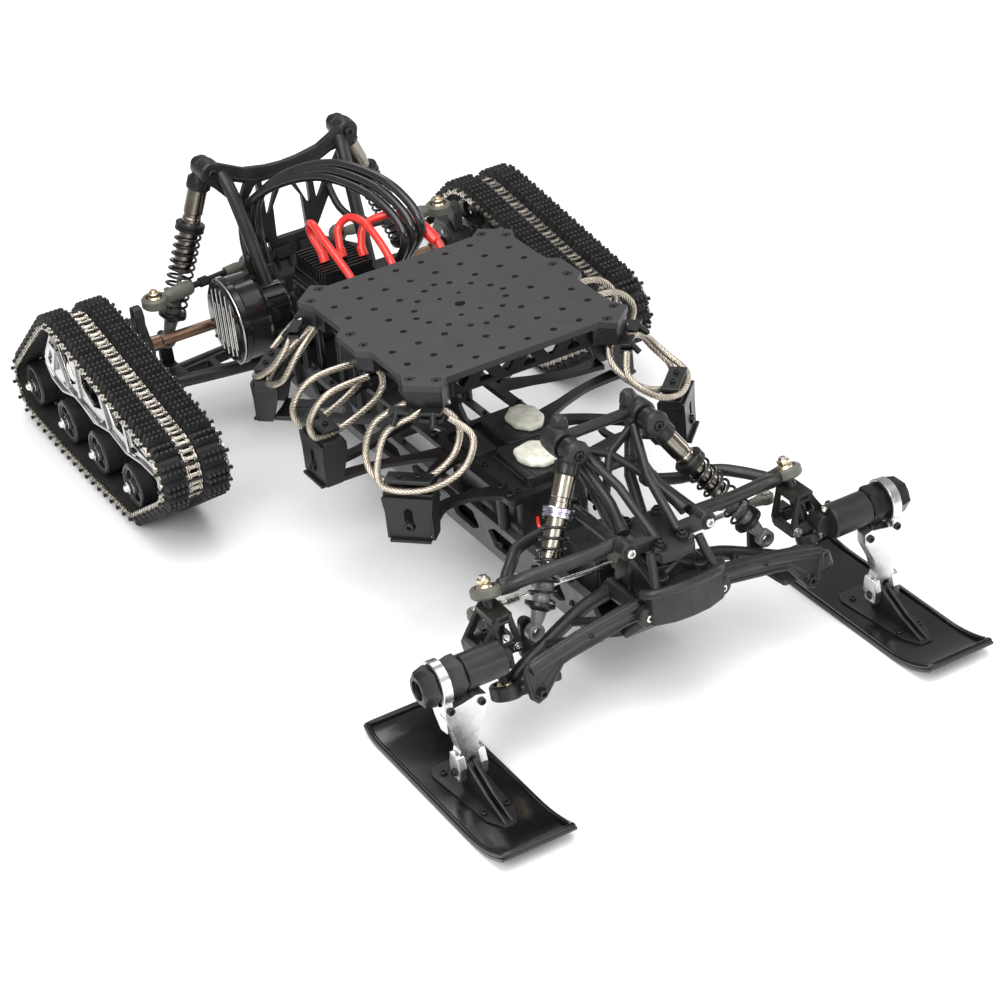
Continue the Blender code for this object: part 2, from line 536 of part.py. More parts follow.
    # -------------------------------------------------------------- front and rear coil-over shocks
    shock(s, m(F_SHOCK_TOP, s), m(F_SHOCK_LOW, s), f"front_shock_body_{tag}", f"front_shock_rod_{tag}", f"front_spring_{tag}", 0.95)
    shock(s, m(R_SHOCK_TOP, s), m(R_SHOCK_LOW, s), f"rear_shock_body_{tag}", f"rear_shock_rod_{tag}", f"rear_spring_{tag}", 1.05)

    # -------------------------------------------------------------- rear lower arm
    y, z = R_LOW_IN
    yo, zo = R_LOW_OUT
    ax, az = R_AXLE
    pieces = [cyl((-338, s * y, z), (-282, s * y, z), 8, n=12),
              plate([[(-334, s * y), (-286, s * y), (-294, s * 132), (-300, s * 140), (-320, s * 140), (-326, s * 132)][::s]], z - 4, z + 8),
              cyl((-324, s * yo, zo), (-296, s * yo, zo), 6.5, n=12),
              box((-318, -301), span(s * 128, s * 148), (z + 0.5, z + 11)),
              box((-337.5, -312), span(s * 126, s * 142), (z - 3, z + 10)),
              box((-337.4, -331), span(s * 127, s * 141), (z + 4, 97)), cyl((-336, s * 134, 92), (-328.6, s * 134, 92), 4.4, n=10)]
    finish(union(*pieces), f"rear_lower_arm_{tag}", *BLACK, (ax, s * y, z))

    # -------------------------------------------------------------- rear upper link
    a, b = Vector(m(R_UP_IN, s)), Vector(m(R_UP_OUT, s))
    link = union(tube([a, b], 4.5, 6), cyl(a + Vector((-7, 0, 0)), a + Vector((7, 0, 0)), 8, n=12), cyl(b + Vector((0, 0, -6)), b + Vector((0, 0, 6)), 11, n=16))
    finish(link, f"rear_upper_link_{tag}", *BLACK, tuple(a))

    # -------------------------------------------------------------- hub carrier, with the half-shaft's clearance hole
    hub = union(box((-330, -290), span(s * 161, s * 177), (72, 128), 4), cyl((ax, s * 160, az), (ax, s * 179, az), 24, n=14),
                box((-304, -288), span(s * 164.4, s * 175), (120, 150), 2), box((-322, -298), span(s * 160.5, s * 174), (54, 80), 2))
    hub = cut(hub, cyl((ax, s * 150, az), (ax, s * 190, az), 8, n=16))
    finish(hub, f"hub_carrier_{tag}", *BLACK, (ax, s * yo, zo))

    # -------------------------------------------------------------- half-shaft and drive sprocket
    n = 12
    gear = []
    for i in range(n * 2):
        r = SPROCKET_R - (0.6 if i % 2 else 7)
        for k in (-0.2, 0.2):
            gear.append((ax + r * cos(tau * (i + 0.5 + k) / (n * 2)), az + r * sin(tau * (i + 0.5 + k) / (n * 2))))
    shaft = union(cyl((ax, s * 48, az), (ax, s * 232, az), 6, n=12), cyl((ax, s * 196, az), (ax, s * 230, az), 20, n=14),
                  plate([gear], min(s * 214, s * 224), max(s * 214, s * 224), "xz"), cyl((ax, s * 47.6, az), (ax, s * 58, az), 9, n=12))
    finish(shaft, f"sprocket_shaft_{tag}", *STEEL, (ax, s * 180, az))

    # -------------------------------------------------------------- track frame: inner and outer side plates, axles and nose guide
    inner = [(-432, 30), (-432, 56), (-330, 122), (-290, 122), (-102, 98), (-94, 80), (-168, 28)]
    pieces = [plate([inner, circle(ax, az, 13, 12, 0.1)], min(s * 186, s * 191), max(s * 186, s * 191), "xz")]
    outer = [(-372, 84), (-368, 96), (-340, 128), (-322, 138), (-296, 136), (-230, 122), (-110, 98), (-100, 88), (-110, 72), (-190, 66), (-260, 64.4), (-330, 65.2)]
    wins = [[(-272, 112), (-232, 104), (-232, 92), (-278, 98)], [(-218, 102), (-176, 95), (-182, 84), (-218, 88)], [(-164, 92), (-132, 87), (-136, 80), (-166, 82)]]
    pieces.append(plate([outer] + wins, min(s * 234, s * 240), max(s * 234, s * 240), "xz"))
    pieces.append(cyl((-114.3, s * 189, NOSE[1] + 0.7), (-114.3, s * 236.3, NOSE[1] + 0.7), 9.3, n=14))
    pieces.append(cyl((NOSE[0], s * 196, NOSE[1]), (NOSE[0], s * 230, NOSE[1]), NOSE[2] - 0.6, n=16))
    for px, pz in ((-232, 80.3), (-362.4, 89.1)):
        pieces.append(cyl((px, s * 189.4, pz), (px, s * 236.6, pz), 5, n=10))
    for wx, wz in WHEELS:
        pieces.append(cyl((wx, s * 188, wz), (wx, s * 247, wz), 4, n=12))
    frame = union(*pieces)
    finish(frame, f"track_frame_{tag}", *ALU, (ax, s * 180, az))

    # -------------------------------------------------------------- road wheels on their axles
    for k, (wx, wz) in enumerate(WHEELS):
        wheel = turned(((0, 0), (0, WHEEL_R - 1.5), (1.5, WHEEL_R), (40.5, WHEEL_R), (42, WHEEL_R - 1.5), (42, WHEEL_R - 4), (37, 10), (42, 8), (42, 0)), (wx, s * 201, wz), (0, s, 0), 14)
        wheel = cut(wheel, cyl((wx, s * 190, wz), (wx, s * 250, wz), 4.6, n=8))
        finish(wheel, f"road_wheel_{k + 1}_{tag}", *BLACK, (wx, s * 222, wz))

    # -------------------------------------------------------------- track belt: cord and lugs round the hull of the wheels
    def hull(grow, n=40):
        pts = []
        for cx, cz, r in [(ax, az, SPROCKET_R)] + [(x, zz, WHEEL_R) for x, zz in WHEELS] + [NOSE]:
            for i in range(n):
                pts.append((round(cx + (r + grow) * cos(tau * i / n), 4), round(cz + (r + grow) * sin(tau * i / n), 4)))
        pts = sorted(set(pts))
        def half(seq):
            out = []
            for p in seq:
                while len(out) > 1 and (out[-1][0] - out[-2][0]) * (p[1] - out[-2][1]) - (out[-1][1] - out[-2][1]) * (p[0] - out[-2][0]) <= 1e-6:
                    out.pop()
                out.append(p)
            return out[:-1]
        return half(pts) + half(pts[::-1])

    def resample(loop, count, offset=0.0):
        ring = loop + [loop[0]]
        runs = [hypot(q[0] - p[0], q[1] - p[1]) for p, q in zip(ring, ring[1:])]
        total = sum(runs)
        out = []
        for i in range(count):
            t = ((i + offset) / count) * total
            for p, q, r in zip(ring, ring[1:], runs):
                if t <= r:
                    out.append(((p[0] + (q[0] - p[0]) * t / r), (p[1] + (q[1] - p[1]) * t / r), (q[1] - p[1]) / r, -(q[0] - p[0]) / r))
                    break
                t -= r
        return out

    cord = hull(BELT_CORD)
    tread = []
    n = LUGS * 4
    for i, (x, zz, nx, nz) in enumerate(resample(cord, n)):
        h = BELT_LUG - BELT_CORD if i % 4 in (1, 2) else 0.0
        tread.append((x + nx * h, zz + nz * h))
    bore = hull(BELT_INNER, 24)
    belt = plate([tread, bore], min(s * BELT_Y[0], s * BELT_Y[1]), max(s * BELT_Y[0], s * BELT_Y[1]), "xz")
    finish(belt, f"track_belt_{tag}", *RUBBER, (ax, s * 180, az))

# ------------------------------------------------------------------ steering link, sliding across behind the knuckles
pieces = [tube([(272, -138, 97), (276, -40, 97), (276, 40, 97), (272, 138, 97)], 3.6, 6), box((266, 288), (-14, 14), (90, 104), 2)]
for sy in (-1, 1):
    pieces.append(cyl((272, sy * 140, 93), (272, sy * 140, 101), 7, n=12))
finish(union(*pieces), "steering_link", *ALU)
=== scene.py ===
"""A rover chassis on rear track pods and front skis, dressed over its CAD frame. Millimetres in the helpers, metres in Blender."""
import random
from math import cos, sin, tau, pi, radians, hypot, atan2, sqrt

import bpy
import bmesh
from mathutils import Vector, Matrix


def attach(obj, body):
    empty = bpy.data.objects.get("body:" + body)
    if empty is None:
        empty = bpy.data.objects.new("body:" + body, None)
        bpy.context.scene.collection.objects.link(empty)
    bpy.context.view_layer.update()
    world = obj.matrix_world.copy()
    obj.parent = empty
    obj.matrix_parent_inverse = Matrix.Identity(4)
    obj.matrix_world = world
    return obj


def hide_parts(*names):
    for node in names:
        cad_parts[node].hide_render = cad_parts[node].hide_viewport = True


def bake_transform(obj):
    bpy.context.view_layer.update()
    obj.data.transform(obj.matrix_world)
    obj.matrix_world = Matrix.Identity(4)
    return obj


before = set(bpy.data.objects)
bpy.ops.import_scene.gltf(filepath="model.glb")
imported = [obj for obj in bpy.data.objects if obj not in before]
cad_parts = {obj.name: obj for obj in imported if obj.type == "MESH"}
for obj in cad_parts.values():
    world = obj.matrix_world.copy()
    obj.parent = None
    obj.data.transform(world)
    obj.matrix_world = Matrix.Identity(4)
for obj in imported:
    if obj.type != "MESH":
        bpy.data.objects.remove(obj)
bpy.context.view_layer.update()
MM = 0.001
rng = random.Random(11)

# ---------------------------------------------------------------- materials


def material(name, base, rough, metal=0.0, vary=0.12, rough_vary=0.08, bump=0.0, scale=400.0, grain=None, coat=0.0, spec=0.5, patch=35.0, aniso=0.0, sheen=0.0, dust=0.0):
    """A procedural finish: patchy colour and roughness, fine bump, and long grain where grain gives the stretch per axis."""
    mat = bpy.data.materials.new(name)
    mat.use_nodes = True
    mat.diffuse_color = (*base, 1)
    nt = mat.node_tree
    nodes, links = nt.nodes, nt.links
    bsdf = nodes["Principled BSDF"]
    bsdf.inputs["Metallic"].default_value = metal
    bsdf.inputs["Coat Weight"].default_value = coat
    bsdf.inputs["Coat Roughness"].default_value = 0.08
    bsdf.inputs["Specular IOR Level"].default_value = spec
    bsdf.inputs["Anisotropic"].default_value = aniso
    bsdf.inputs["Sheen Weight"].default_value = sheen
    co = nodes.new("ShaderNodeTexCoord")

    def noise(size, detail, stretch=(1, 1, 1)):
        mp = nodes.new("ShaderNodeMapping")
        mp.inputs["Scale"].default_value = stretch
        links.new(co.outputs["Object"], mp.inputs["Vector"])
        n = nodes.new("ShaderNodeTexNoise")
        n.inputs["Scale"].default_value = size
        n.inputs["Detail"].default_value = detail
        links.new(mp.outputs["Vector"], n.inputs["Vector"])
        return n.outputs["Fac"]

    def remap(fac, low, high, a=0.3, b=0.7):
        r = nodes.new("ShaderNodeMapRange")
        r.inputs["From Min"].default_value = a
        r.inputs["From Max"].default_value = b
        r.inputs["To Min"].default_value = low
        r.inputs["To Max"].default_value = high
        links.new(fac, r.inputs["Value"])
        return r.outputs["Result"]

    big = noise(patch, 4.0)
    ramp = nodes.new("ShaderNodeValToRGB")
    ramp.color_ramp.elements[0].position = 0.32
    ramp.color_ramp.elements[1].position = 0.70
    ramp.color_ramp.elements[0].color = (*[max(0.0, c * (1 - vary)) for c in base], 1)
    ramp.color_ramp.elements[1].color = (*[min(1.0, c * (1 + vary) + dust) for c in base], 1)
    links.new(big, ramp.inputs["Fac"])
    fine = noise(scale, 2.0, grain or (1, 1, 1))
    mix = nodes.new("ShaderNodeMix")
    mix.data_type = "RGBA"
    mix.blend_type = "MULTIPLY"
    mix.inputs["Factor"].default_value = 0.5
    speck = nodes.new("ShaderNodeValToRGB")
    speck.color_ramp.elements[0].color = (1 - vary, 1 - vary, 1 - vary, 1)
    speck.color_ramp.elements[1].color = (1, 1, 1, 1)
    speck.color_ramp.elements[0].position = 0.35
    speck.color_ramp.elements[1].position = 0.6
    links.new(fine, speck.inputs["Fac"])
    links.new(ramp.outputs["Color"], mix.inputs["A"])
    links.new(speck.outputs["Color"], mix.inputs["B"])
    links.new(mix.outputs["Result"], bsdf.inputs["Base Color"])
    mid = noise(patch * 2.6, 5.0)
    links.new(remap(mid, max(0.02, rough - rough_vary), min(1.0, rough + rough_vary)), bsdf.inputs["Roughness"])
    if bump:
        b = nodes.new("ShaderNodeBump")
        b.inputs["Strength"].default_value = 0.6
        b.inputs["Distance"].default_value = bump * MM
        links.new(fine, b.inputs["Height"])
        links.new(b.outputs["Normal"], bsdf.inputs["Normal"])
    return mat


M = dict(
    deck=material("anodised_deck", (0.034, 0.034, 0.036), 0.48, 0.25, vary=0.08, bump=0.03, scale=1500, patch=25, rough_vary=0.05),
    deckedge=material("anodised_edge", (0.014, 0.014, 0.015), 0.32, 0.4, vary=0.1, bump=0.02, scale=1200, rough_vary=0.06),
    nylon=material("glass_nylon", (0.010, 0.010, 0.010), 0.40, 0.0, vary=0.22, bump=0.05, scale=1100, patch=60, rough_vary=0.1, dust=0.003, spec=0.42),
    arm=material("arm_nylon", (0.0125, 0.0128, 0.0112), 0.40, 0.0, vary=0.2, bump=0.06, scale=900, patch=55, rough_vary=0.1, dust=0.003, spec=0.42),
    olive=material("rod_end_nylon", (0.105, 0.103, 0.082), 0.46, 0.0, vary=0.15, bump=0.04, scale=1200, patch=80),
    frame=material("frame_plate", (0.012, 0.012, 0.0125), 0.36, 0.25, vary=0.12, bump=0.03, scale=1300, rough_vary=0.08),
    gloss=material("ski_gloss", (0.006, 0.006, 0.0065), 0.20, 0.0, vary=0.3, bump=0.008, scale=60, patch=14, rough_vary=0.05, coat=0.2, spec=0.42),
    rubber=material("track_rubber", (0.016, 0.016, 0.016), 0.66, 0.0, vary=0.25, bump=0.12, scale=900, patch=70, rough_vary=0.12, spec=0.4, dust=0.004),
    tyre=material("wheel_nylon", (0.018, 0.018, 0.018), 0.38, 0.0, vary=0.2, bump=0.05, scale=900, rough_vary=0.1),
    alu=material("satin_aluminium", (0.70, 0.70, 0.69), 0.27, 1.0, vary=0.05, bump=0.02, scale=500, grain=(0.12, 1, 4), rough_vary=0.07, patch=30),
    track_alu=material("polished_frame", (0.58, 0.58, 0.575), 0.20, 1.0, vary=0.12, bump=0.02, scale=420, grain=(0.15, 1, 3), rough_vary=0.09, patch=45),
    chain=material("chain_nickel", (0.50, 0.46, 0.40), 0.25, 1.0, vary=0.25, bump=0.03, scale=600, rough_vary=0.1, patch=120),
    rope=material("rope_strand", (0.50, 0.445, 0.37), 0.30, 1.0, vary=0.18, bump=0.03, scale=1500, rough_vary=0.08, patch=90),
    steel=material("bright_steel", (0.70, 0.69, 0.66), 0.22, 1.0, vary=0.1, bump=0.02, scale=900, rough_vary=0.07),
    brass=material("brass", (0.78, 0.66, 0.46), 0.25, 1.0, vary=0.12, bump=0.02, scale=900),
    black=material("black_oxide", (0.020, 0.020, 0.021), 0.34, 0.5, vary=0.2, bump=0.02, scale=1500, rough_vary=0.08),
    can=material("motor_can", (0.012, 0.012, 0.013), 0.18, 0.4, vary=0.2, bump=0.01, scale=1200, coat=0.3),
    bronze=material("shock_bronze", (0.27, 0.245, 0.205), 0.20, 1.0, vary=0.12, bump=0.015, scale=700, grain=(1, 1, 0.2), rough_vary=0.07),
    collar=material("collar_violet", (0.52, 0.50, 0.60), 0.22, 1.0, vary=0.12, bump=0.015, scale=900),
    spring=material("spring_coat", (0.014, 0.014, 0.015), 0.26, 0.3, vary=0.15, bump=0.02, scale=1500, coat=0.2),
    boot=material("shock_boot", (0.13, 0.13, 0.125), 0.34, 0.0, vary=0.25, bump=0.08, scale=300, patch=70, rough_vary=0.12, coat=0.3),
    shaft=material("half_shaft", (0.27, 0.17, 0.115), 0.36, 0.9, vary=0.2, bump=0.02, scale=700, grain=(1, 0.15, 1)),
    red=material("red_silicone", (0.74, 0.028, 0.018), 0.30, 0.0, vary=0.1, bump=0.03, scale=700, coat=0.35, patch=60),
    lead=material("black_silicone", (0.012, 0.012, 0.012), 0.24, 0.0, vary=0.2, bump=0.03, scale=700, coat=0.35, patch=60),
    pad=material("cream_pad", (0.88, 0.87, 0.74), 0.50, 0.0, vary=0.16, bump=0.18, scale=180, patch=90, rough_vary=0.12, sheen=0.1),
    ivory=material("ivory_block", (0.66, 0.63, 0.52), 0.45, 0.0, vary=0.12, bump=0.05, scale=500),
    tray=material("tray_shell", (0.018, 0.018, 0.018), 0.34, 0.0, vary=0.22, bump=0.05, scale=800, patch=30, rough_vary=0.12, dust=0.006),
    blue=material("blue_cap", (0.03, 0.10, 0.22), 0.4, 0.0, vary=0.1, bump=0.02, scale=800),
    rail=material("rail_grey", (0.11, 0.113, 0.12), 0.40, 0.7, vary=0.12, bump=0.03, scale=500, grain=(0.2, 1, 2), rough_vary=0.09),
    floor=None,
)


# ---------------------------------------------------------------- geometry
def V(p):
    return p if isinstance(p, Vector) else Vector(p)


class Piece:
    """One mesh of many closed shells, written in millimetres."""

    def __init__(self):
        self.v, self.f = [], []

    def add(self, verts, faces):
        k = len(self.v)
        self.v += [tuple(p) for p in verts]
        self.f += [tuple(i + k for i in face) for face in faces]
        return self

    def turn(self, profile, p0, d=(0, 0, 1), n=24, spin=0.0, hexes=()):
        """A closed lathe of (along, radius) pairs; the rings whose index is in hexes are hexagons."""
        q = V(d).to_track_quat("Z", "Y")
        o = V(p0)
        verts, faces, rings = [], [], []
        for k, (t, r) in enumerate(profile):
            if r == 0:
                rings.append([len(verts)])
                verts.append(o + q @ Vector((0, 0, t)))
                continue
            ring = []
            for i in range(n):
                a = tau * i / n
                rr = r / cos((a % (pi / 3)) - pi / 6) if k in hexes else r
                ring.append(len(verts))
                verts.append(o + q @ Vector((rr * cos(a + spin), rr * sin(a + spin), t)))
            rings.append(ring)
        for a, b in zip(rings, rings[1:]):
            if len(a) == 1 and len(b) == 1:
                continue
            for i in range(n):
                j = (i + 1) % n
                if len(a) == 1:
                    faces.append((a[0], b[j], b[i]))
                elif len(b) == 1:
                    faces.append((a[i], a[j], b[0]))
                else:
                    faces.append((a[i], a[j], b[j], b[i]))
        return self.add(verts, faces)

    def cyl(self, p0, p1, r0, r1=None, n=20, ch=0.0):
        p0, p1 = V(p0), V(p1)
        r1 = r0 if r1 is None else r1
        L = (p1 - p0).length
        if ch:
            prof = ((0, 0), (0, r0 - ch), (ch, r0), (L - ch, r1), (L, r1 - ch), (L, 0))
        else:
            prof = ((0, 0), (0, r0), (L, r1), (L, 0))
        return self.turn(prof, p0, p1 - p0, n)

    def ring(self, c, d, r_out, r_in, h, n=32, ch=0.5):
        """A flat ring centred on c."""
        prof = [(-h / 2, r_in), (-h / 2, r_out - ch), (-h / 2 + ch, r_out), (h / 2 - ch, r_out), (h / 2, r_out - ch), (h / 2, r_in), (-h / 2, r_in)]
        return self.turn(prof, c, d, n)

    def ball(self, c, r, n=16, d=(0, 0, 1)):
        m = max(6, n // 2)
        return self.turn([(-r * cos(pi * i / m), r * sin(pi * i / m) if 0 < i < m else 0) for i in range(m + 1)], c, d, n)

    def tube(self, pts, r, n=10, cyclic=False, radii=None, squash=None):
        pts = [V(p) for p in pts]
        m = len(pts)
        rings, verts, faces = [], [], []
        tan = []
        for i in range(m):
            a = pts[i - 1] if (i or cyclic) else pts[i]
            b = pts[(i + 1) % m] if (i < m - 1 or cyclic) else pts[i]
            tan.append((b - a).normalized())
        nrm = tan[0].orthogonal().normalized()
        for i in range(m):
            if i:
                nrm = tan[i - 1].rotation_difference(tan[i]) @ nrm
            nrm = (nrm - tan[i] * nrm.dot(tan[i])).normalized()
            bi = tan[i].cross(nrm)
            rr = radii[i] if radii else r
            rings.append(list(range(len(verts), len(verts) + n)))
            verts += [pts[i] + nrm * rr * cos(tau * k / n) + bi * rr * sin(tau * k / n) for k in range(n)]
        for i in range(m if cyclic else m - 1):
            a, b = rings[i], rings[(i + 1) % m]
            faces += [(a[k], a[(k + 1) % n], b[(k + 1) % n], b[k]) for k in range(n)]
        if not cyclic:
            faces += [tuple(rings[0][::-1]), tuple(rings[-1])]
        return self.add(verts, faces)

    def box(self, x, y, z, turn=None, at=None):
        vs = [Vector((a, b, c)) for c in z for b in y for a in x]
        if turn is not None:
            vs = [turn @ p for p in vs]
        if at is not None:
            vs = [p + V(at) for p in vs]
        return self.add(vs, [(0, 2, 3, 1), (4, 5, 7, 6), (0, 1, 5, 4), (2, 6, 7, 3), (0, 4, 6, 2), (1, 3, 7, 5)])

    def prism(self, outlines, low, high, plane="xy", edge=0.5, place=None):
        """A flat plate with holes and softened edges, from a filled 2D curve."""
        cu = bpy.data.curves.new("tmp", "CURVE")
        cu.dimensions = "2D"
        cu.fill_mode = "BOTH"
        cu.extrude = (high - low) / 2 - edge
        cu.bevel_depth = edge
        cu.bevel_resolution = 1
        cu.offset = -edge
        for line in outlines:
            sp = cu.splines.new("POLY")
            sp.points.add(len(line) - 1)
            for p, q in zip(sp.points, line):
                p.co = (q[0], q[1], 0, 1)
            sp.use_cyclic_u = True
        ob = bpy.data.objects.new("tmp", cu)
        bpy.context.scene.collection.objects.link(ob)
        bpy.context.view_layer.update()
        me = bpy.data.meshes.new_from_object(ob.evaluated_get(bpy.context.evaluated_depsgraph_get()))
        bpy.data.objects.remove(ob)
        mid = (low + high) / 2
        out = []
        for v in me.vertices:
            a, b, c = v.co
            c += mid
            p = {"xy": (a, b, c), "xz": (a, c, b), "yz": (c, a, b)}[plane]
            out.append(place @ Vector(p) if place is not None else p)
        self.add(out, [tuple(p.vertices) for p in me.polygons])
        bpy.data.meshes.remove(me)
        return self

    def band(self, pts, widths, low, high, plane="xy", edge=0.5):
        """A flat strip of changing width along a smooth path."""
        path = smooth([(*p, 0) for p in pts], 6)
        n = len(path)
        left, right = [], []
        for i, p in enumerate(path):
            t = i / (n - 1) * (len(widths) - 1)
            k = min(int(t), len(widths) - 2)
            w = widths[k] + (widths[k + 1] - widths[k]) * (t - k)
            d = (path[min(i + 1, n - 1)] - path[max(i - 1, 0)]).normalized()
            s = Vector((-d.y, d.x, 0))
            left.append(tuple((p + s * w)[:2]))
            right.append(tuple((p - s * w)[:2]))
        return self.prism([left + right[::-1]], low, high, plane, edge)

    def screw(self, p, d, r=2.6, h=2.6, sock=True, n=18):
        """A cap screw head standing on p, with a hexagon socket."""
        if sock:
            prof = [(0, 0), (0, r), (h * 0.82, r), (h, r * 0.86), (h, r * 0.52), (h * 0.35, r * 0.50), (h * 0.35, 0)]
            return self.turn(prof, p, d, n, hexes=(4, 5))
        return self.turn([(0, 0), (0, r), (h * 0.5, r), (h * 0.85, r * 0.75), (h, r * 0.3), (h, 0)], p, d, n)

    def nut(self, p, d, r=4, h=3, hole=None):
        if hole:
            prof = [(0, hole), (0, r * 0.94), (h * 0.12, r), (h * 0.88, r), (h, r * 0.94), (h, hole), (0, hole)]
            return self.turn(prof, p, d, 18, hexes=(1, 2, 3, 4))
        return self.turn([(0, 0), (0, r * 0.94), (h * 0.12, r), (h * 0.88, r), (h, r * 0.9), (h, 0)], p, d, 18, hexes=(1, 2, 3, 4))

    def done(self, name, mat, body, bevel=0.0, node=(), angle=32, slot=None, seg=2):
        me = bpy.data.meshes.new(name)
        me.from_pydata([(p[0] * MM, p[1] * MM, p[2] * MM) for p in self.v], [], self.f)
        me.validate()
        bm = bmesh.new()
        bm.from_mesh(me)
        bmesh.ops.remove_doubles(bm, verts=bm.verts, dist=1e-6)
        bmesh.ops.recalc_face_normals(bm, faces=bm.faces)
        bm.to_mesh(me)
        bm.free()
        for p in me.polygons:
            p.use_smooth = True
        me.set_sharp_from_angle(angle=radians(angle))
        ob = bpy.data.objects.new(name, me)
        bpy.context.scene.collection.objects.link(ob)
        me.materials.append(M[mat] if isinstance(mat, str) else mat)
        if bevel:
            mod = ob.modifiers.new("edge", "BEVEL")
            mod.width = bevel * MM
            mod.segments = seg
            mod.limit_method = "ANGLE"
            mod.angle_limit = radians(40)
            mod.harden_normals = False
        mod = ob.modifiers.new("normals", "WEIGHTED_NORMAL")
        mod.keep_sharp = True
        mod.weight = 80
        if body:
            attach(ob, body)
        if node:
            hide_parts(*([node] if isinstance(node, str) else node))
        return ob


def smooth(points, per=6, cyclic=False):
    pts = [V(p) for p in points]
    n = len(pts)
    out = []
    for i in range(n if cyclic else n - 1):
        if cyclic:
            a, b, c, d = pts[i - 1], pts[i], pts[(i + 1) % n], pts[(i + 2) % n]
        else:
            a, b, c, d = pts[max(i - 1, 0)], pts[i], pts[i + 1], pts[min(i + 2, n - 1)]
        for k in range(per):
            t = k / per
            out.append(0.5 * ((2 * b) + (c - a) * t + (2 * a - 5 * b + 4 * c - d) * t * t + (3 * b - a - 3 * c + d) * t ** 3))
    if not cyclic:
        out.append(pts[-1])
    return out


def circle(x, y, r, n=20, a0=0.0):
    return [(x + r * cos(tau * i / n + a0), y + r * sin(tau * i / n + a0)) for i in range(n)]


def rounded(poly, r, n=4):
    """The polygon with its corners rounded by radius r."""
    out = []
    m = len(poly)
    for i in range(m):
        p, a, b = Vector(poly[i]), Vector(poly[i - 1]), Vector(poly[(i + 1) % m])
        ua, ub = (a - p), (b - p)
        la, lb = ua.length, ub.length
        ua.normalize(); ub.normalize()
        half = max(0.05, ua.angle(ub) / 2)
        cut = min(r / max(0.05, abs(sin(half) / cos(half))) if half < 1.56 else 0, la * 0.45, lb * 0.45)
        if cut < 0.01:
            out.append(tuple(p))
            continue
        s, e = p + ua * cut, p + ub * cut
        for k in range(n + 1):
            t = k / n
            out.append(tuple((1 - t) ** 2 * s + 2 * t * (1 - t) * p + t * t * e))
    return out


def mir(p, s):
    return Vector((p[0], s * p[1], p[2]))


def span(a, b):
    return (min(a, b), max(a, b))


def resample(path, step):
    path = [V(p) for p in path]
    L = [0.0]
    for a, b in zip(path, path[1:]):
        L.append(L[-1] + (b - a).length)
    n = max(2, int(L[-1] / step))
    out, k = [], 0
    for i in range(n + 1):
        t = L[-1] * i / n
        while k < len(L) - 2 and L[k + 1] < t:
            k += 1
        f = (t - L[k]) / max(1e-9, L[k + 1] - L[k])
        out.append(path[k].lerp(path[k + 1], f))
    return out


def laid(piece, path, r, strands=6, pitch=22.0, step=1.9, n=6):
    """A laid rope: strands twisted round the path."""
    path = resample(path, step)
    m = len(path)
    tan = [(path[min(i + 1, m - 1)] - path[max(i - 1, 0)]).normalized() for i in range(m)]
    nrm = tan[0].orthogonal().normalized()
    frames = []
    for i in range(m):
        if i:
            nrm = tan[i - 1].rotation_difference(tan[i]) @ nrm
        nrm = (nrm - tan[i] * nrm.dot(tan[i])).normalized()
        frames.append((nrm.copy(), tan[i].cross(nrm)))
    rs = r * 0.40
    rc = r - rs
    for k in range(strands):
        pts = []
        for i in range(m):
            a = tau * (k / strands + i * step / pitch)
            u, w = frames[i]
            pts.append(path[i] + u * rc * cos(a) + w * rc * sin(a))
        piece.tube(pts, rs, n)
    piece.tube(path, rc * 0.75, 6)
    return piece


def helix(p0, p1, R, turns, n=14, ends=0.6):
    """Points of a coil spring, its coils evenly spaced."""
    a, b = V(p0), V(p1)
    d = (b - a).normalized()
    u = d.orthogonal().normalized()
    w = d.cross(u)
    L = (b - a).length
    total = int(turns * n)
    out = []
    for i in range(total + 1):
        t = i / total
        # the crowding of the first and last turn is multiplied by zero, so the coils stay evenly spaced
        e = ends / turns
        s = t + 0.5 * e * (sin(2 * pi * t) / pi) * 0.0
        out.append(a + d * L * s + u * R * cos(tau * i / n) + w * R * sin(tau * i / n))
    return out


# ---------------------------------------------------------------- the measures shared with the frame
DX = 32.2
F_LOW_BALL, F_UP_BALL = Vector((328, 146, 60)), Vector((300, 140, 134))
F_TOP, F_BOT = Vector((266, 36.5, 205)), Vector((312, 108, 90))
R_TOP, R_BOT = Vector((-324, 71, 252)), Vector((-324, 134, 92))
R_UP_IN, R_UP_OUT = Vector((-306, 48, 152)), Vector((-292, 151, 151))
AX, AZ = 338.0, 100.0
RX, RZ = -310.0, 100.0
WHEELS = ((-418, 41), (-336, 36), (-262, 36), (-180, 39))
NOSE = (-108, 88, 24)

# ---------------------------------------------------------------- payload deck
half = [(105, 60), (105, 72), (116, 83.5), (94.5, 107), (79, 100), (27, 100), (17, 109.5), (-17, 109.5), (-27, 100), (-79, 100), (-94.5, 107), (-116, 83.5), (-105, 72), (-105, 60)]
outline = [(DX + x, y) for x, y in half] + [(DX + x, -y) for x, y in reversed(half)]
SCREWS = [(sx * x, sy * y) for sx in (1, -1) for sy in (1, -1) for x, y in ((104, 81), (88.5, 97), (12, 98.5))]
holes = [circle(DX, 0, 4.5, 28)]
for i in range(8):
    for j in range(8):
        x, y = (i - 3.5) * 26, (j - 3.5) * 24.6
        if hypot(x, y) < 42 and not (abs(x) > 30 and abs(y) > 30):
            continue
        if abs(y) > 80 and not 30 < abs(x) < 70:
            continue
        holes.append(circle(DX + x, y, 2.9))
for x, y in ((0, 42), (27, 26), (-27, 26), (45, 0), (-45, 0), (27, -26), (-27, -26), (0, -42), (40, 12.3), (-40, 12.3), (40, -12.3), (-40, -12.3), (13, 37), (-13, 37), (13, -37), (-13, -37)):
    holes.append(circle(DX + x, y, 2.7))
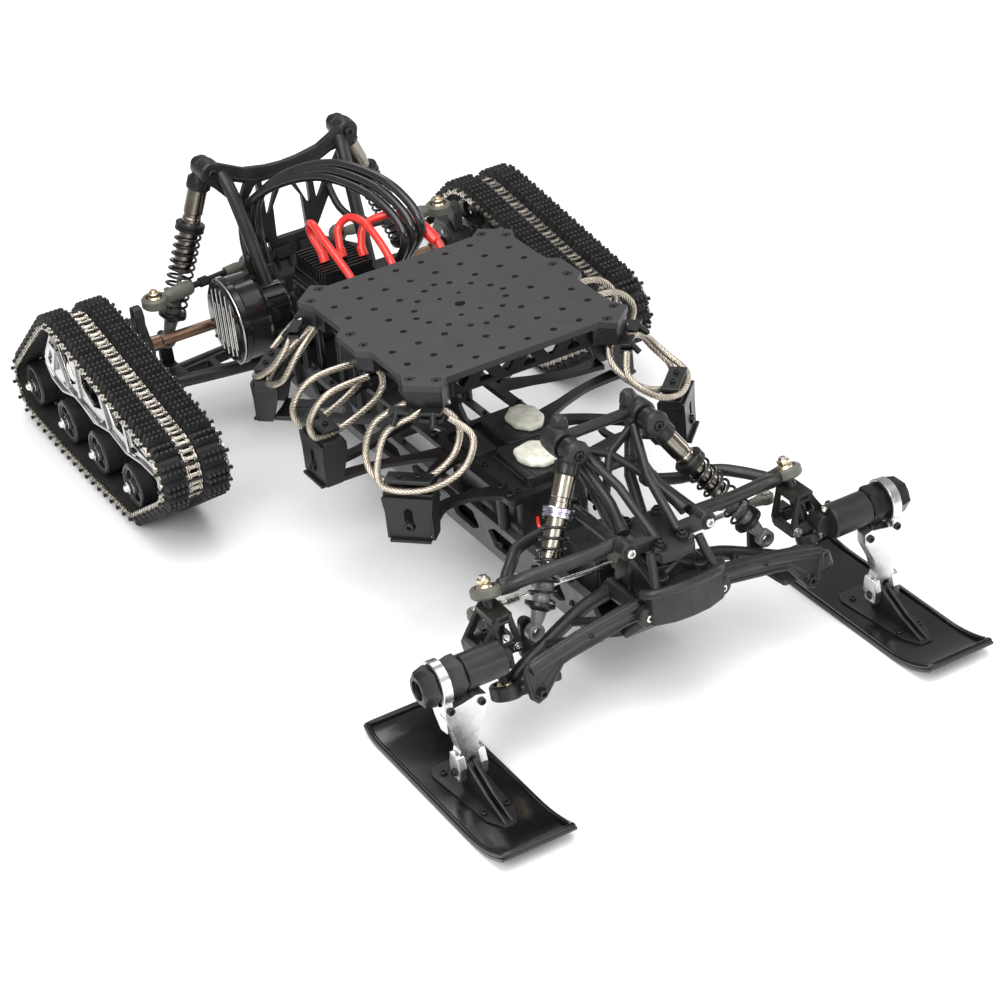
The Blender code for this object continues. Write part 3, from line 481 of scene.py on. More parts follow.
for x, y in ((18.5, 9.2), (-18.5, 9.2), (18.5, -9.2), (-18.5, -9.2)):
    holes.append(circle(DX + x, y, 2.1))
holes += [circle(DX + x, y, 4.3) for x, y in SCREWS]
Piece().prism([rounded(outline, 1.6)] + holes, 221, 227, edge=0.35).done("deck_plate", "deck", "deck", node="payload_plate")
p = Piece()
for x, y in SCREWS:
    p.turn([(0, 0), (0, 2.4), (2.6, 2.4), (5.2, 4.15), (5.35, 4.0), (5.35, 1.5), (3.6, 1.45), (3.6, 0)], (DX + x, y, 221.3), n=18, hexes=(5, 6))
p.done("deck_screws", "black", "deck")

# the sub-frame under the plate: ear blocks, side walls and cross walls
p = Piece()
for sx in (1, -1):
    for sy in (1, -1):
        ear = [(66, 74), (104, 66), (104, 71), (114.5, 83), (94, 105.5), (79, 98.6), (66, 98)]
        p.prism([rounded([(DX + sx * x, sy * y) for x, y in ear], 1.5)], 205.6, 220.7, edge=0.5)
for sy in (1, -1):
    ear = [(-27, 76), (27, 76), (26, 98.5), (16, 108), (-16, 108), (-26, 98.5)]
    p.prism([rounded([(DX + x, sy * y) for x, y in ear], 1.5)], 207.5, 220.7, edge=0.5)
p.done("deck_ears", "deckedge", "deck", node="payload_frame")

p = Piece()
for sx in (1, -1):
    wins = []
    for k in range(6):
        y0 = -62 + k * 21.0
        wins.append(rounded([(y0, 207), (y0 + 15, 207), (y0 + 7.5, 217)] if k % 2 else [(y0, 217), (y0 + 7.5, 207), (y0 + 15, 217)], 1.5))
    p.prism([rounded([(-72, 204), (72, 204), (72, 220.6), (-72, 220.6)], 1)] + wins, DX + sx * 96 - 1.6, DX + sx * 96 + 1.6, "yz", edge=0.4)
    p.prism([rounded([(DX + sx * 86, -72), (DX + sx * 97, -72), (DX + sx * 97, 72), (DX + sx * 86, 72)][::sx], 1)], 202.5, 205.2, edge=0.4)
for sy in (1, -1):
    wins = []
    for k in range(8):
        x0 = DX - 84 + k * 21.5
        wins.append(rounded([(x0, 208), (x0 + 15, 208), (x0 + 7.5, 217.5)] if k % 2 else [(x0, 217.5), (x0 + 7.5, 208), (x0 + 15, 217.5)], 1.5))
    p.prism([rounded([(DX - 95, 205), (DX + 95, 205), (DX + 95, 220.6), (DX - 95, 220.6)], 1)] + wins, span(sy * 88, sy * 91)[0], span(sy * 88, sy * 91)[1], "xz", edge=0.4)
    p.prism([rounded([(DX - 92, sy * 47), (DX + 92, sy * 47), (DX + 92, sy * 55), (DX - 92, sy * 55)], 1)], 208, 220.6, edge=0.5)
p.prism([rounded([(DX - 9, -88), (DX + 9, -88), (DX + 9, 88), (DX - 9, 88)], 1)], 211, 220.5, edge=0.5)
p.done("deck_subframe", "deckedge", "deck")

# ---------------------------------------------------------------- isolators: clamps above, laid ropes, brackets below
BR = [((DX + sx * 128, sy * 127), Vector((sx, sy, 0)).normalized(), 22) for sx in (1, -1) for sy in (-1, 1)] + [((DX, sy * 141), Vector((0, sy, 0)), 22) for sy in (-1, 1)]
ropes = {}
for name, sx, sy in (("fr", 1, -1), ("fl", 1, 1), ("rr", -1, -1), ("rl", -1, 1)):
    def w(x, y, z, sx=sx, sy=sy):
        return (DX + sx * (x - DX), sy * -y, z)
    ropes[name] = [w(114, -100, 203), w(104, -124, 190), w(108, -138, 170), w(132, -142, 158), w(160, -118, 158.5), w(166, -90, 172), w(154, -74, 190), w(136, -82, 202.6),
                   w(136, -104, 202.6), w(124, -124, 190), w(130, -138, 172), w(150, -146, 158.6), w(176, -122, 158.6), w(188, -92, 172), w(176, -74, 190), w(158, -84, 203)]
for name, sy in (("mr", -1), ("ml", 1)):
    def w(x, y, z, sy=sy):
        return (DX + x, sy * -y, z)
    ropes[name] = [w(-17, -92, 203), w(-24, -82, 190), w(-24, -92, 172), w(-19, -126, 158.5), w(-15, -152, 158.5), w(-14, -158, 178), w(-12, -140, 198), w(-7, -102, 202.5),
                   w(0, -92, 202), w(8, -84, 190), w(8, -92, 172), w(10, -126, 158.5), w(14, -152, 158.5), w(17, -158, 178), w(19, -140, 198), w(21, -102, 202.5)]
for name, route in ropes.items():
    pc = laid(Piece(), smooth(route, 7), 3.0)
    ob = pc.done("rope_" + name, "rope", None, node="wire_rope_" + name, angle=80)
    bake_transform(ob)

clamps, bolts = Piece(), Piece()
for k, (c, d, hw) in enumerate(BR):
    c = Vector((*c, 0))
    s = Vector((-d.y, d.x, 0))
    rot = Matrix(((s.x, d.x, 0), (s.y, d.y, 0), (0, 0, 1)))
    # upper clamp bars, hung under the ear, that the rope passes through
    back = 35 if abs(d.x) > 0.1 else 43
    o = c - d * back
    for a, h in ((-13, 0), (13, 0)):
        for lo, hi in ((197.6, 201.0), (204.0, 207.0)):
            clamps.box((-9, 9), (-5, 5), (lo, hi), rot, o + s * a)
        bolts.screw(o + s * a + Vector((0, 0, 197.6)), (0, 0, -1), 2.4, 2.2)
    # inclined round bars outside the clamps
    for a in (-15, 15):
        clamps.tube([o + s * a + d * 2 + Vector((0, 0, 206)), o + s * (a * 1.12) + d * 11 + Vector((0, 0, 197))], 2.6, 12)
clamps.done("rope_clamps_upper", "deckedge", "deck", bevel=0.5)
bolts.done("rope_clamp_screws", "black", "deck")

plates, bolts, bars = Piece(), Piece(), Piece()
for k, (c, d, hw) in enumerate(BR):
    c = Vector((*c, 0))
    s = Vector((-d.y, d.x, 0))
    M4 = Matrix(((s.x, 0, d.x, c.x), (s.y, 0, d.y, c.y), (0, 1, 0, 0), (0, 0, 0, 1)))
    slot_ = [(x * 1.0, z) for x, z in circle(0, 0, 3.6, 20)]
    slot_ = [(x, z + (126 if z < 0 else 139)) for x, z in slot_]
    face = [(-hw, 152), (hw, 152), (hw - 6, 113), (-hw + 6, 113)]
    plates.prism([rounded(face, 2.2), slot_], 9.4, 12, "xy", edge=0.4, place=M4)
    foot = [(-hw + 5.5, 0), (hw - 5.5, 0), (hw - 5.5, -5), (-hw + 5.5, -5)]
    plates.box((-hw + 5, hw - 5), (9.6, 15.2), (112.2, 114.6), Matrix(((s.x, d.x, 0), (s.y, d.y, 0), (0, 0, 1))), c)
    for a in (-1, 1):
        # tapering cheeks, folded back from the face
        q = Matrix(((d.x, 0, s.x, c.x + s.x * 0), (d.y, 0, s.y, c.y), (0, 1, 0, 0), (0, 0, 0, 1)))
        cheek = [(11.8, 151.5), (11.8, 113), (-4, 113), (-12, 140), (-12, 151.5)]
        lean = Matrix.Translation(s * (a * (hw - 3.4)))
        plates.prism([rounded(cheek, 2)], -1.3, 1.3, "xy", edge=0.35, place=lean @ q)
    # rope clamp on top of the bracket
    rot = Matrix(((s.x, d.x, 0), (s.y, d.y, 0), (0, 0, 1)))
    bars.box((-hw + 1, hw - 1), (-10, 9), (147, 154.6), rot, c)
    bars.box((-hw + 2.5, hw - 2.5), (-8, 7), (161.6, 165.2), rot, c)
    for a in (-8, 8):
        bolts.screw(c + s * a + Vector((0, 0, 165.2)), (0, 0, 1), 2.5, 2.4)
    bolts.screw(c + d * 11.6 + Vector((0, 0, 126)), d, 3.8, 3.2)
    bolts.cyl(c + d * 9 + Vector((0, 0, 126)), c + d * 12 + Vector((0, 0, 126)), 4.9, n=20)
plates.done("isolator_brackets", "frame", "chassis", node="deck_frame")
bars.done("isolator_blocks", "frame", "chassis", bevel=0.8)
bolts.done("isolator_screws", "black", "chassis")

# ---------------------------------------------------------------- the flat frame that carries the isolators
p = Piece()
ring = rounded([(-84, -47), (176, -47), (176, 47), (-84, 47)], 6)
p.prism([ring, rounded([(-66, -38), (38, -38), (38, 38), (-66, 38)], 8), rounded([(46, -37), (168, -37), (168, 37), (46, 37)], 8)], 112, 118, edge=0.5)
for sy in (1, -1):
    for sx in (1, -1):
        c = Vector((DX + sx * 128, sy * 127))
        o = c - Vector((sx, sy)).normalized() * 3
        # two bowed arms run out to each corner bracket, with a loop between them
        p.band([(DX + sx * 44, sy * 42), (DX + sx * 58, sy * 70), (DX + sx * 84, sy * 98), (o.x - sx * 7, o.y + sy * 5)], (10, 6, 5.5, 8), 112.6, 117.4)
        p.band([(DX + sx * 124, sy * 38), (DX + sx * 112, sy * 62), (DX + sx * 110, sy * 92), (o.x + sx * 5, o.y - sy * 7)], (11, 6, 5.5, 8), 112.9, 117.1)
        p.band([(DX + sx * 70, sy * 84), (DX + sx * 90, sy * 76), (DX + sx * 110, sy * 78)], (3.6, 3.2, 3.6), 113.2, 116.8)
    p.band([(DX - 38, sy * 42), (DX - 26, sy * 74), (DX - 16, sy * 104), (DX - 12, sy * 138)], (10, 5.5, 5, 7), 112.6, 117.4)
    p.band([(DX + 38, sy * 42), (DX + 26, sy * 74), (DX + 16, sy * 104), (DX + 12, sy * 138)], (10, 5.5, 5, 7), 112.9, 117.1)
for x in (-58, 152):
    for sy in (1, -1):
        p.cyl((x, sy * 42, 80.4), (x, sy * 42, 113), 5, n=20)
p.done("isolator_frame", "frame", "chassis")
p = Piece()
for x, y in ((-74, -42), (-74, 42), (40, -42), (40, 42), (168, -42), (168, 42), (-58, -42), (-58, 42), (152, 42), (152, -42), (-74, 0), (172, 0)):
    p.screw((x, y, 118), (0, 0, 1), 3.4, 3.2)
p.done("isolator_frame_screws", "black", "chassis")

# ---------------------------------------------------------------- chassis pan and rails
p = Piece()
for sy in (1, -1):
    wins = []
    for x0, x1 in ((-205, -150), (-140, -90), (-78, -22), (-8, 46), (60, 112), (126, 178), (196, 252)):
        wins.append(rounded([(x0 + 10, 55), (x1 - 12, 55), (x1, 61), (x1 - 10, 73), (x0 + 12, 73), (x0, 66)], 3))
    side = [(-250, 45.4), (-250, 62), (-215, 79.8), (292, 79.8), (301, 68), (301, 45.4)]
    a, b = span(sy * 41, sy * 45.4)
    p.prism([rounded(side, 3)] + wins, a, b, "xz", edge=0.5)
    p.prism([rounded([(-214, sy * 37), (290, sy * 37), (290, sy * 45.3), (-214, sy * 45.3)], 1)], 77.4, 80.2, edge=0.4)
p.done("chassis_rails", "rail", "chassis", node="chassis_pan")
p = Piece()
pan = [(-350, -30), (-300, -34), (-252, -44), (290, -44), (301, -26), (301, 26), (290, 44), (-252, 44), (-300, 34), (-350, 30)]
wins = [rounded([(x0, -20), (x0 + 30, -26), (x0 + 46, 0), (x0 + 30, 26), (x0, 20)], 5) for x0 in (-90, -30, 180)]
p.prism([rounded(pan, 5)] + wins, 44.2, 49, edge=0.6)
p.prism([rounded([(296, 44.2), (296, 48.8), (304, 52), (346, 90.6), (356, 90.6), (352, 86), (306, 44.4)], 1)], -24, 24, "xz", edge=0.5)
p.done("chassis_floor", "deckedge", "chassis")
p = Piece()
for x in range(-200, 290, 35):
    for sy in (1, -1):
        p.screw((x, sy * 41, 80.2), (0, 0, 1), 2.3, 2.0)
        p.screw((x + 12, sy * 36, 44.4), (0, 0, -1), 2.8, 0.4, sock=False)
for x in (-214, 20, 150, 262):
    for sy in (1, -1):
        p.screw((x, sy * 45.3, 64), (0, sy, 0), 2.6, 2.2)
p.done("chassis_screws", "black", "chassis")

# ---------------------------------------------------------------- electronics tray with its pads
p = Piece()
p.prism([rounded([(47, -34), (165, -34), (165, 34), (47, 34)], 7)], 49.5, 112, edge=2.0)
p.prism([rounded([(44, -37), (168, -37), (168, 37), (44, 37)], 9)], 108, 114, edge=1.2)
p.prism([rounded([(50, -4), (100, -4), (104, 34), (50, 34)], 6)], 112, 123, edge=1.8)
p.prism([rounded([(100, -18), (162, -22), (162, 28), (108, 28)], 7)], 112, 124, edge=2.0)
p.prism([rounded([(52, -32), (94, -32), (94, -10), (52, -10)], 4)], 113, 119, edge=1.2)
for y in (-26, -14, 12, 24):
    p.box((113, 161), (y, y + 1.6), (123, 124.8))
p.done("tray_case", "tray", "chassis", node="electronics_tray", bevel=0.3)
p = Piece()
p.prism([rounded([(58, 22), (68, 12), (86, 12), (98, 20), (98, 32), (86, 41), (70, 41), (58, 34)], 3)], 123.2, 130.5, edge=2.6)
p.prism([rounded([(122, -12), (136, -16), (150, -12), (158, -2), (157, 12), (146, 20), (128, 18), (119, 6)], 5)], 124.2, 132, edge=2.8)
ob = p.done("tray_pads", "pad", "chassis")
mod = ob.modifiers.new("soft", "REMESH"); mod.mode = "VOXEL"; mod.voxel_size = 0.0009; mod.use_smooth_shade = True
mod = ob.modifiers.new("ease", "SMOOTH"); mod.iterations = 6; mod.factor = 0.5
tx = bpy.data.textures.new("lump", "CLOUDS"); tx.noise_scale = 0.012
mod = ob.modifiers.new("lump", "DISPLACE"); mod.texture = tx; mod.strength = 0.0014; mod.mid_level = 0.5
p = Piece()
for x, y in ((52, -30), (160, -30), (160, 31), (52, 31), (106, -31), (106, 32)):
    p.screw((x, y, 114), (0, 0, 1), 2.4, 2.2)
p.done("tray_screws", "black", "chassis")
p = Piece()
p.tube(smooth([(44, -30, 96), (34, -34, 100), (28, -26, 92), (34, -14, 96), (46, -10, 98)], 6), 1.6, 10)
p.tube(smooth([(170, -20, 90), (180, -24, 86), (190, -16, 74), (196, -6, 60)], 6), 1.5, 10)
p.done("signal_wires", "red", "chassis")

# ---------------------------------------------------------------- front bulkhead, tower and bumper
p, hw_, br_ = Piece(), Piece(), Piece()
p.prism([rounded([(300, 54), (312, 54), (352, 93), (352, 99), (304, 99)], 2)], -21, 21, "xz", edge=1.2)
p.prism([rounded([(308, -20), (350, -20), (354, 0), (350, 20), (308, 20)], 5)], 92, 132, edge=1.4)
p.turn([(0, 0), (0, 22), (3, 26), (18, 27), (21, 24), (21, 0)], (296, 0, 100), (1, 0, 0), 28)
for k in range(6):
    a = tau * k / 6 + 0.3
    hw_.screw((317, 25 * cos(a) * 0.9, 100 + 25 * sin(a) * 0.9), (1, 0, 0), 2.2, 2.2)
p.prism([rounded([(296, -20), (356, -16), (358, 0), (356, 16), (296, 20)], 4)], 136, 146, edge=1.2)
for x, y in ((304, -14), (304, 14), (346, -10), (346, 10)):
    p.cyl((x, y, 130), (x, y, 150), 4.6, n=18)
    hw_.screw((x, y, 150), (0, 0, 1), 2.8, 2.6)
for sy in (-1, 1):
    # round boss with its cap, the shock's upper mount
    p.turn([(0, 0), (0, 9), (2, 11), (12, 12), (20, 12), (22.5, 10.5), (22.5, 7.5), (20.5, 7.0), (20.5, 0)], (236, sy * 36.5, 205), (1, 0, 0), 30)
    p.turn([(0, 0), (0, 6.2), (13, 6.0), (14, 5.4), (14, 0)], (258, sy * 36.5, 205), (1, 0, 0), 20)
    p.turn([(0, 0), (0, 10.6), (3.0, 11.4), (6.2, 10.2), (7.4, 7.2), (7.4, 4.6), (5.6, 4.4), (5.6, 0)], (271.8, sy * 36.5, 205), (1, 0, 0), 30)
    hw_.screw((277, sy * 36.5, 205), (1, 0, 0), 3.6, 2.6)
    p.turn([(0, 0), (0, 7.5), (7, 6.5), (10, 4.5), (10.6, 0)], (243, sy * 32, 213), (0, 0, 1), 20)
    # V tubes from the boss down to the arm pivot, and behind it to the bulkhead
    p.tube([(252, sy * 30, 199), (268, sy * 22, 178), (296, sy * 22, 164), (314, sy * 26.5, 157), (323, sy * 28.5, 153)], 4.6, 14, radii=[5.4, 4.8, 4.4, 4.8, 5.6])
    p.tube([(247, sy * 30, 198), (262, sy * 17, 160), (282, sy * 14, 132), (306, sy * 16, 108)], 4.8, 14)
    p.tube([(250, sy * 34, 199), (262, 0, 186), (286, -sy * 20, 168)], 3.5, 12)
    p.tube([(258, sy * 26, 200), (296, sy * 13, 176), (340, sy * 10, 150)], 3.8, 12)
    # arm pivot block
    p.turn([(0, 0), (0, 6.6), (1, 7.6), (10, 7.6), (11, 6.4), (11, 0)], (332.6, sy * 36, 149), (1, 0, 0), 22)
    p.box((332.8, 343.4), span(sy * 8, sy * 33), (144, 153))
    br_.screw((343.8, sy * 36, 149), (1, 0, 0), 3.8, 2.8, sock=True)
    hw_.cyl((343.2, sy * 36, 149), (344, sy * 36, 149), 5.4, n=22)
    # X of thin tubes between the pivots and the bumper
    p.tube([(350, sy * 22, 146), (356, sy * 24, 134), (363, sy * 27, 121)], 3.6, 12)
    p.tube([(348, sy * 18, 147), (352, sy * 2, 134), (352, -sy * 22, 118)], 3.2, 12)
    p.tube([(300, sy * 18, 132), (330, sy * 20, 126), (362, sy * 24, 120)], 3.8, 12)
    # lower hinge-pin holder at the bumper's end
    p.turn([(0, 0), (0, 7), (1.2, 8.4), (8, 8.4), (9.2, 7), (9.2, 0)], (352.6, sy * 34, 98), (1, 0, 0), 24)
    br_.screw((361.4, sy * 34, 98), (1, 0, 0), 3.2, 2.2, sock=True)
p.tube([(248, -34, 207), (248, 34, 207)], 4.6, 14)
p.tube([(268, -22, 178), (268, 22, 178)], 3.4, 12)
p.tube(smooth([(356, -36, 118), (365, -30, 120), (369, -14, 121), (370, 0, 121.4), (369, 14, 121), (365, 30, 120), (356, 36, 118)], 4), 4.2, 14)
p.done("front_tower", "arm", "chassis", node="front_bulkhead", bevel=0.3)
bump = [(352, -20), (357, -35), (366, -33), (371.5, -16), (372.6, 0), (371.5, 16), (366, 33), (357, 35), (352, 20)]
p = Piece().prism([rounded(bump, 4)], 91, 121, edge=2.4)
for y in (-18, 18):
    p.cyl((356, y, 118), (356, y, 125), 5.5, n=20, ch=0.8)
    p.ring((356, y, 126), (0, 0, 1), 6.5, 3.4, 3)
p.done("front_bumper", "arm", "chassis")
hw_.done("front_screws", "black", "chassis")
br_.done("front_pivot_screws", "steel", "chassis")

# ---------------------------------------------------------------- servo and linkage inside the nose
p = Piece()
p.prism([rounded([(206, -20), (262, -20), (262, 20), (206, 20)], 3)], 49.5, 92, edge=1.0)
p.prism([rounded([(200, -14), (268, -14), (268, 14), (200, 14)], 2)], 74, 78, edge=0.6)
p.turn([(0, 0), (0, 9), (3, 9), (4, 7), (4, 3), (7, 3), (7, 0)], (250, 0, 92), (0, 0, 1), 24)
p.done("steering_servo", "tray", "chassis", bevel=0.4)

p, q = Piece(), Piece()
p.tube([(272, -128, 97), (273, -60, 97), (276, -30, 97), (276, 30, 97), (273, 60, 97), (272, 128, 97)], 2.3, 12)
for sy in (-1, 1):
    p.cyl((272.4, sy * 98, 97), (272.2, sy * 110, 97), 3.6, n=6)
    q.turn([(0, 0), (0, 3.6), (14, 4.2), (17, 5.0), (17, 0)], (272.2, sy * 114, 97), (0, sy, 0), 16)
    q.ring((272, sy * 137, 97), (0, 0, 1), 7.0, 3.4, 7, 26)
    p.ball((272, sy * 137, 97), 4.5, 16)
    p.screw((272, sy * 137, 100.4), (0, 0, 1), 3.0, 2.6)
p.done("tie_rod", "steel", "steering", node="steering_link")
q.prism([rounded([(264, -13), (289, -13), (289, 13), (264, 13)], 5)], 90.5, 103.5, edge=1.2)
q.done("tie_rod_ends", "olive", "steering")


def coil_over(side, tag, top, low, names, s, loops, colours):
    """A coil-over shock in its parts, between two ball eyes."""
    a, b = mir(top, side), mir(low, side)
    d = (b - a).normalized()
    L = (b - a).length
    body_b, rod_b, pre = names
    eye = Piece()
    eye.ring(a, (1, 0, 0), 9.6 * s, 5.9, 10, 30, 1.0)
    eye.turn([(6.5 * s, 0), (6.5 * s, 7 * s), (9 * s, 9.4 * s), (13 * s, 10.2 * s), (19 * s, 10.2 * s), (20.5 * s, 9.4 * s), (20.5 * s, 0)], a, d, 30)
    for k in range(10):
        ang = tau * k / 10
        u = d.orthogonal().normalized()
        w = d.cross(u)
        r = u * cos(ang) + w * sin(ang)
        eye.tube([a + d * 10 * s + r * 9.9 * s, a + d * 19 * s + r * 9.9 * s], 1.1 * s, 8)
    eye.done(f"{pre}_cap_{tag}", "black", body_b, node=f"{pre}_body_{tag}")
    can = Piece()
    c0, c1 = 20.7 * s, L * 0.60
    can.turn([(c0, 0), (c0, 8.6 * s), (L * 0.26, 8.6 * s), (L * 0.265, 7.9 * s), (L * 0.285, 7.9 * s), (L * 0.29, 8.4 * s), (c1 - 7, 8.4 * s), (c1 - 6.6, 7.4 * s), (c1 - 5, 7.4 * s),
              (c1 - 4.5, 8.2 * s), (c1 - 0.8, 8.2 * s), (c1, 7.2 * s), (c1, 3.2 * s), (c1 - 20, 3.1 * s), (c1 - 20, 0)], a, d, 36)
    can.done(f"{pre}_can_{tag}", colours[0], body_b)
    col = Piece()
    h0 = L * 0.318
    prof = [(h0, 8.2 * s), (h0, 12.2 * s), (h0 + 0.9, 13 * s), (h0 + 3.4, 13 * s), (h0 + 4.2, 12.1 * s), (h0 + 5.0, 12.1 * s), (h0 + 5.6, 12.9 * s), (h0 + 7.6, 12.9 * s), (h0 + 8.2, 12 * s), (h0 + 8.2, 8.2 * s), (h0, 8.2 * s)]
    col.turn(prof, a, d, 40)
    col.done(f"{pre}_collar_{tag}", colours[1], body_b)
    rod = Piece()
    rod.turn([(L * 0.60 - 3.4, 0), (L * 0.60 - 3.4, 2.2 * s), (L * 0.83, 2.4 * s), (L * 0.83, 0)], a, d, 20)
    rod.done(f"{pre}_piston_{tag}", "steel", rod_b)
    boot = Piece()
    prof = [(L * 0.70, 0), (L * 0.70, 5.0 * s), (L * 0.715, 7.6 * s), (L * 0.745, 8.4 * s), (L * 0.77, 7.0 * s), (L * 0.78, 5.8 * s), (L * 0.80, 7.0 * s), (L * 0.825, 7.4 * s), (L * 0.85, 6.0 * s), (L * 0.88, 6.4 * s), (L * 0.93, 5.4 * s), (L - 6, 4.4 * s), (L - 4, 0)]
    boot.turn(prof, a, d, 32)
    boot.ring(b, (1, 0, 0), 7.6 * s, 4.7, 8, 26, 0.9)
    boot.done(f"{pre}_boot_{tag}", "boot", rod_b, node=f"{pre}_rod_{tag}")
    cup = Piece()
    cup.turn([(L * 0.838, 5.0 * s), (L * 0.838, 12.2 * s), (L * 0.845, 12.6 * s), (L * 0.862, 12.4 * s), (L * 0.872, 9.0 * s), (L * 0.885, 7.0 * s), (L * 0.885, 5.0 * s), (L * 0.838, 5.0 * s)], a, d, 36)
    cup.done(f"{pre}_cup_{tag}", "black", rod_b)
    sp = Piece()
    s0, s1 = h0 + 8.2 + 1.5, L * 0.838 - 1.5
    pts = helix(a + d * s0, a + d * s1, 10.9 * s, loops, 16)
    sp.tube(pts, 1.25 * s, 8)
    ob = sp.done(f"{pre}_coil_{tag}", "spring", None, node=pre.replace("_shock", "_spring") + f"_{tag}")
    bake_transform(ob)


for tag, s in (("r", -1), ("l", 1)):
    lb, ub = mir(F_LOW_BALL, s), mir(F_UP_BALL, s)
    king = (ub - lb).normalized()
    # ------------------------------------------------------------ lower arm: deep webbed front beam, tube behind
    p, q = Piece(), Piece()
    web = [(33, 106.5), (46, 106.8), (90, 99.5), (128, 91.5), (136, 87), (138, 79), (134, 59), (129, 53.6), (123.5, 56), (106, 79.5), (98, 82), (70, 86.5), (46, 90.5), (33, 91)]
    p.prism([rounded([(s * a, b) for a, b in web], 3)], 345.4, 348.2, "yz", edge=0.6)
    rim = [Vector((347, s * a, b)) for a, b in web]
    p.tube(rim, 2.3, 10, cyclic=True)
    p.tube([(347.4, s * 36, 103), (347.4, s * 90, 95.6), (347.4, s * 134, 85)], 5.6, 16)
    p.tube([(347, s * 104, 86), (347, s * 130, 62)], 1.8, 8)
    p.tube([(304, s * 34, 98), (350.4, s * 34, 98)], 7.4, 22)
    p.tube(smooth([(310, s * 36, 98), (311, s * 66, 92), (315, s * 104, 76), (320, s * 132, 64), lb + Vector((-3, -s * 10, 1))], 4), 6.0, 14)
    p.tube([(346, s * 56, 97), (312, s * 78, 86)], 3.6, 12)
    p.tube([(345, s * 88, 92), (313, s * 104, 76)], 3.6, 12)
    p.tube([(346, s * 120, 66), (336, s * 130, 62), lb + Vector((4, -s * 9, 0))], 6.0, 14)
    p.prism([rounded([(304, s * 100), (344, s * 104), (340, s * 126), (306, s * 118)][::s], 4)], 60.5, 66, edge=1.0)
    p.ring(lb, king, 13, 9.0, 12, 30, 1.4)
    p.prism([rounded([(s * 101, 60), (s * 115, 60), (s * 114, 92), (s * 108, 97), (s * 102, 92)], 3)], 294.6, 300, "yz", edge=0.8)
    p.done(f"lower_arm_{tag}", "arm", f"f_arm_{tag}", node=f"front_lower_arm_{tag}")
    q.screw((349.0, s * 126, 61), (1, 0, 0), 3.8, 3.2)
    q.cyl((348, s * 126, 61), (349.3, s * 126, 61), 5.4, n=22)
    q.screw((352.0, s * 81, 96.6), (1, 0, 0), 2.6, 1.6)
    q.cyl((300, s * 108, 90), (308, s * 108, 90), 2.7, n=16)
    q.screw((294.4, s * 108, 90), (-1, 0, 0), 4.0, 3.0)
    q.done(f"lower_arm_screws_{tag}", "black", f"f_arm_{tag}")

    # ------------------------------------------------------------ upper arm: A of two tubes and a rod-end ring
    p, q, b_ = Piece(), Piece(), Piece()
    e = ub + Vector((4, -s * 14, 0))
    p.tube(smooth([e, (313, s * 110, 141), (322, s * 70, 146), (325, s * 42, 149), (325, s * 34, 149)], 4), 5.6, 18, radii=None)
    p.tube(smooth([ub + Vector((-1, -s * 17, 0)), (284, s * 108, 138), (269, s * 92, 139.4), (263.5, s * 62, 141), (262, s * 38, 148)], 4), 5.0, 16)
    p.tube([(257, s * 36, 149), (331, s * 36, 149)], 5.0, 18)
    p.turn([(0, 0), (0, 6.2), (6, 7.0), (14, 7.0), (16, 5.6), (16, 0)], ub + Vector((5.2, -s * 25, 1)), (-0.25, s * 1, -0.04), 24)
    for x in (258, 330.6):
        p.ring((x, s * 36, 149), (1, 0, 0), 7.6, 4.4, 6, 26)
    p.done(f"upper_arm_{tag}", "arm", f"f_upper_{tag}", node=f"front_upper_arm_{tag}")
    q.ring(ub, king, 12.6, 8.6, 9, 36, 1.8)
    q.turn([(0, 0), (0, 4.0), (10, 4.6), (10, 0)], ub + Vector((2.2, -s * 20, 0)), (-0.12, s, 0), 18)
    q.done(f"upper_rod_end_{tag}", "olive", f"f_upper_{tag}")

    # ------------------------------------------------------------ kingpin: balls, post and the bright cap screw
    b_.ball(ub, 8.0, 24, king)
    b_.ball(lb, 8.4, 20, king)
    kp = Piece().turn([(0, 0), (0, 4.6), (8, 4.6), (9, 5.4), (60, 5.4), (62, 4.4), (70, 4.4), (70, 0)], lb + king * 4, king, 20)
    kp.done(f"kingpin_post_{tag}", "black", f"f_post_{tag}")
    b_.turn([(0, 0), (0, 4.2), (1.6, 4.2), (2.0, 5.4), (4.0, 5.6), (5.0, 4.6), (5.2, 0)], ub + king * 6.0, king, 24)
    b_.done(f"kingpin_{tag}", "brass", f"f_post_{tag}", node=f"kingpin_carrier_{tag}")
    c = Piece().screw(ub + king * 11.0, king, 3.4, 2.2)
    c.done(f"kingpin_screw_{tag}", "steel", f"f_post_{tag}")

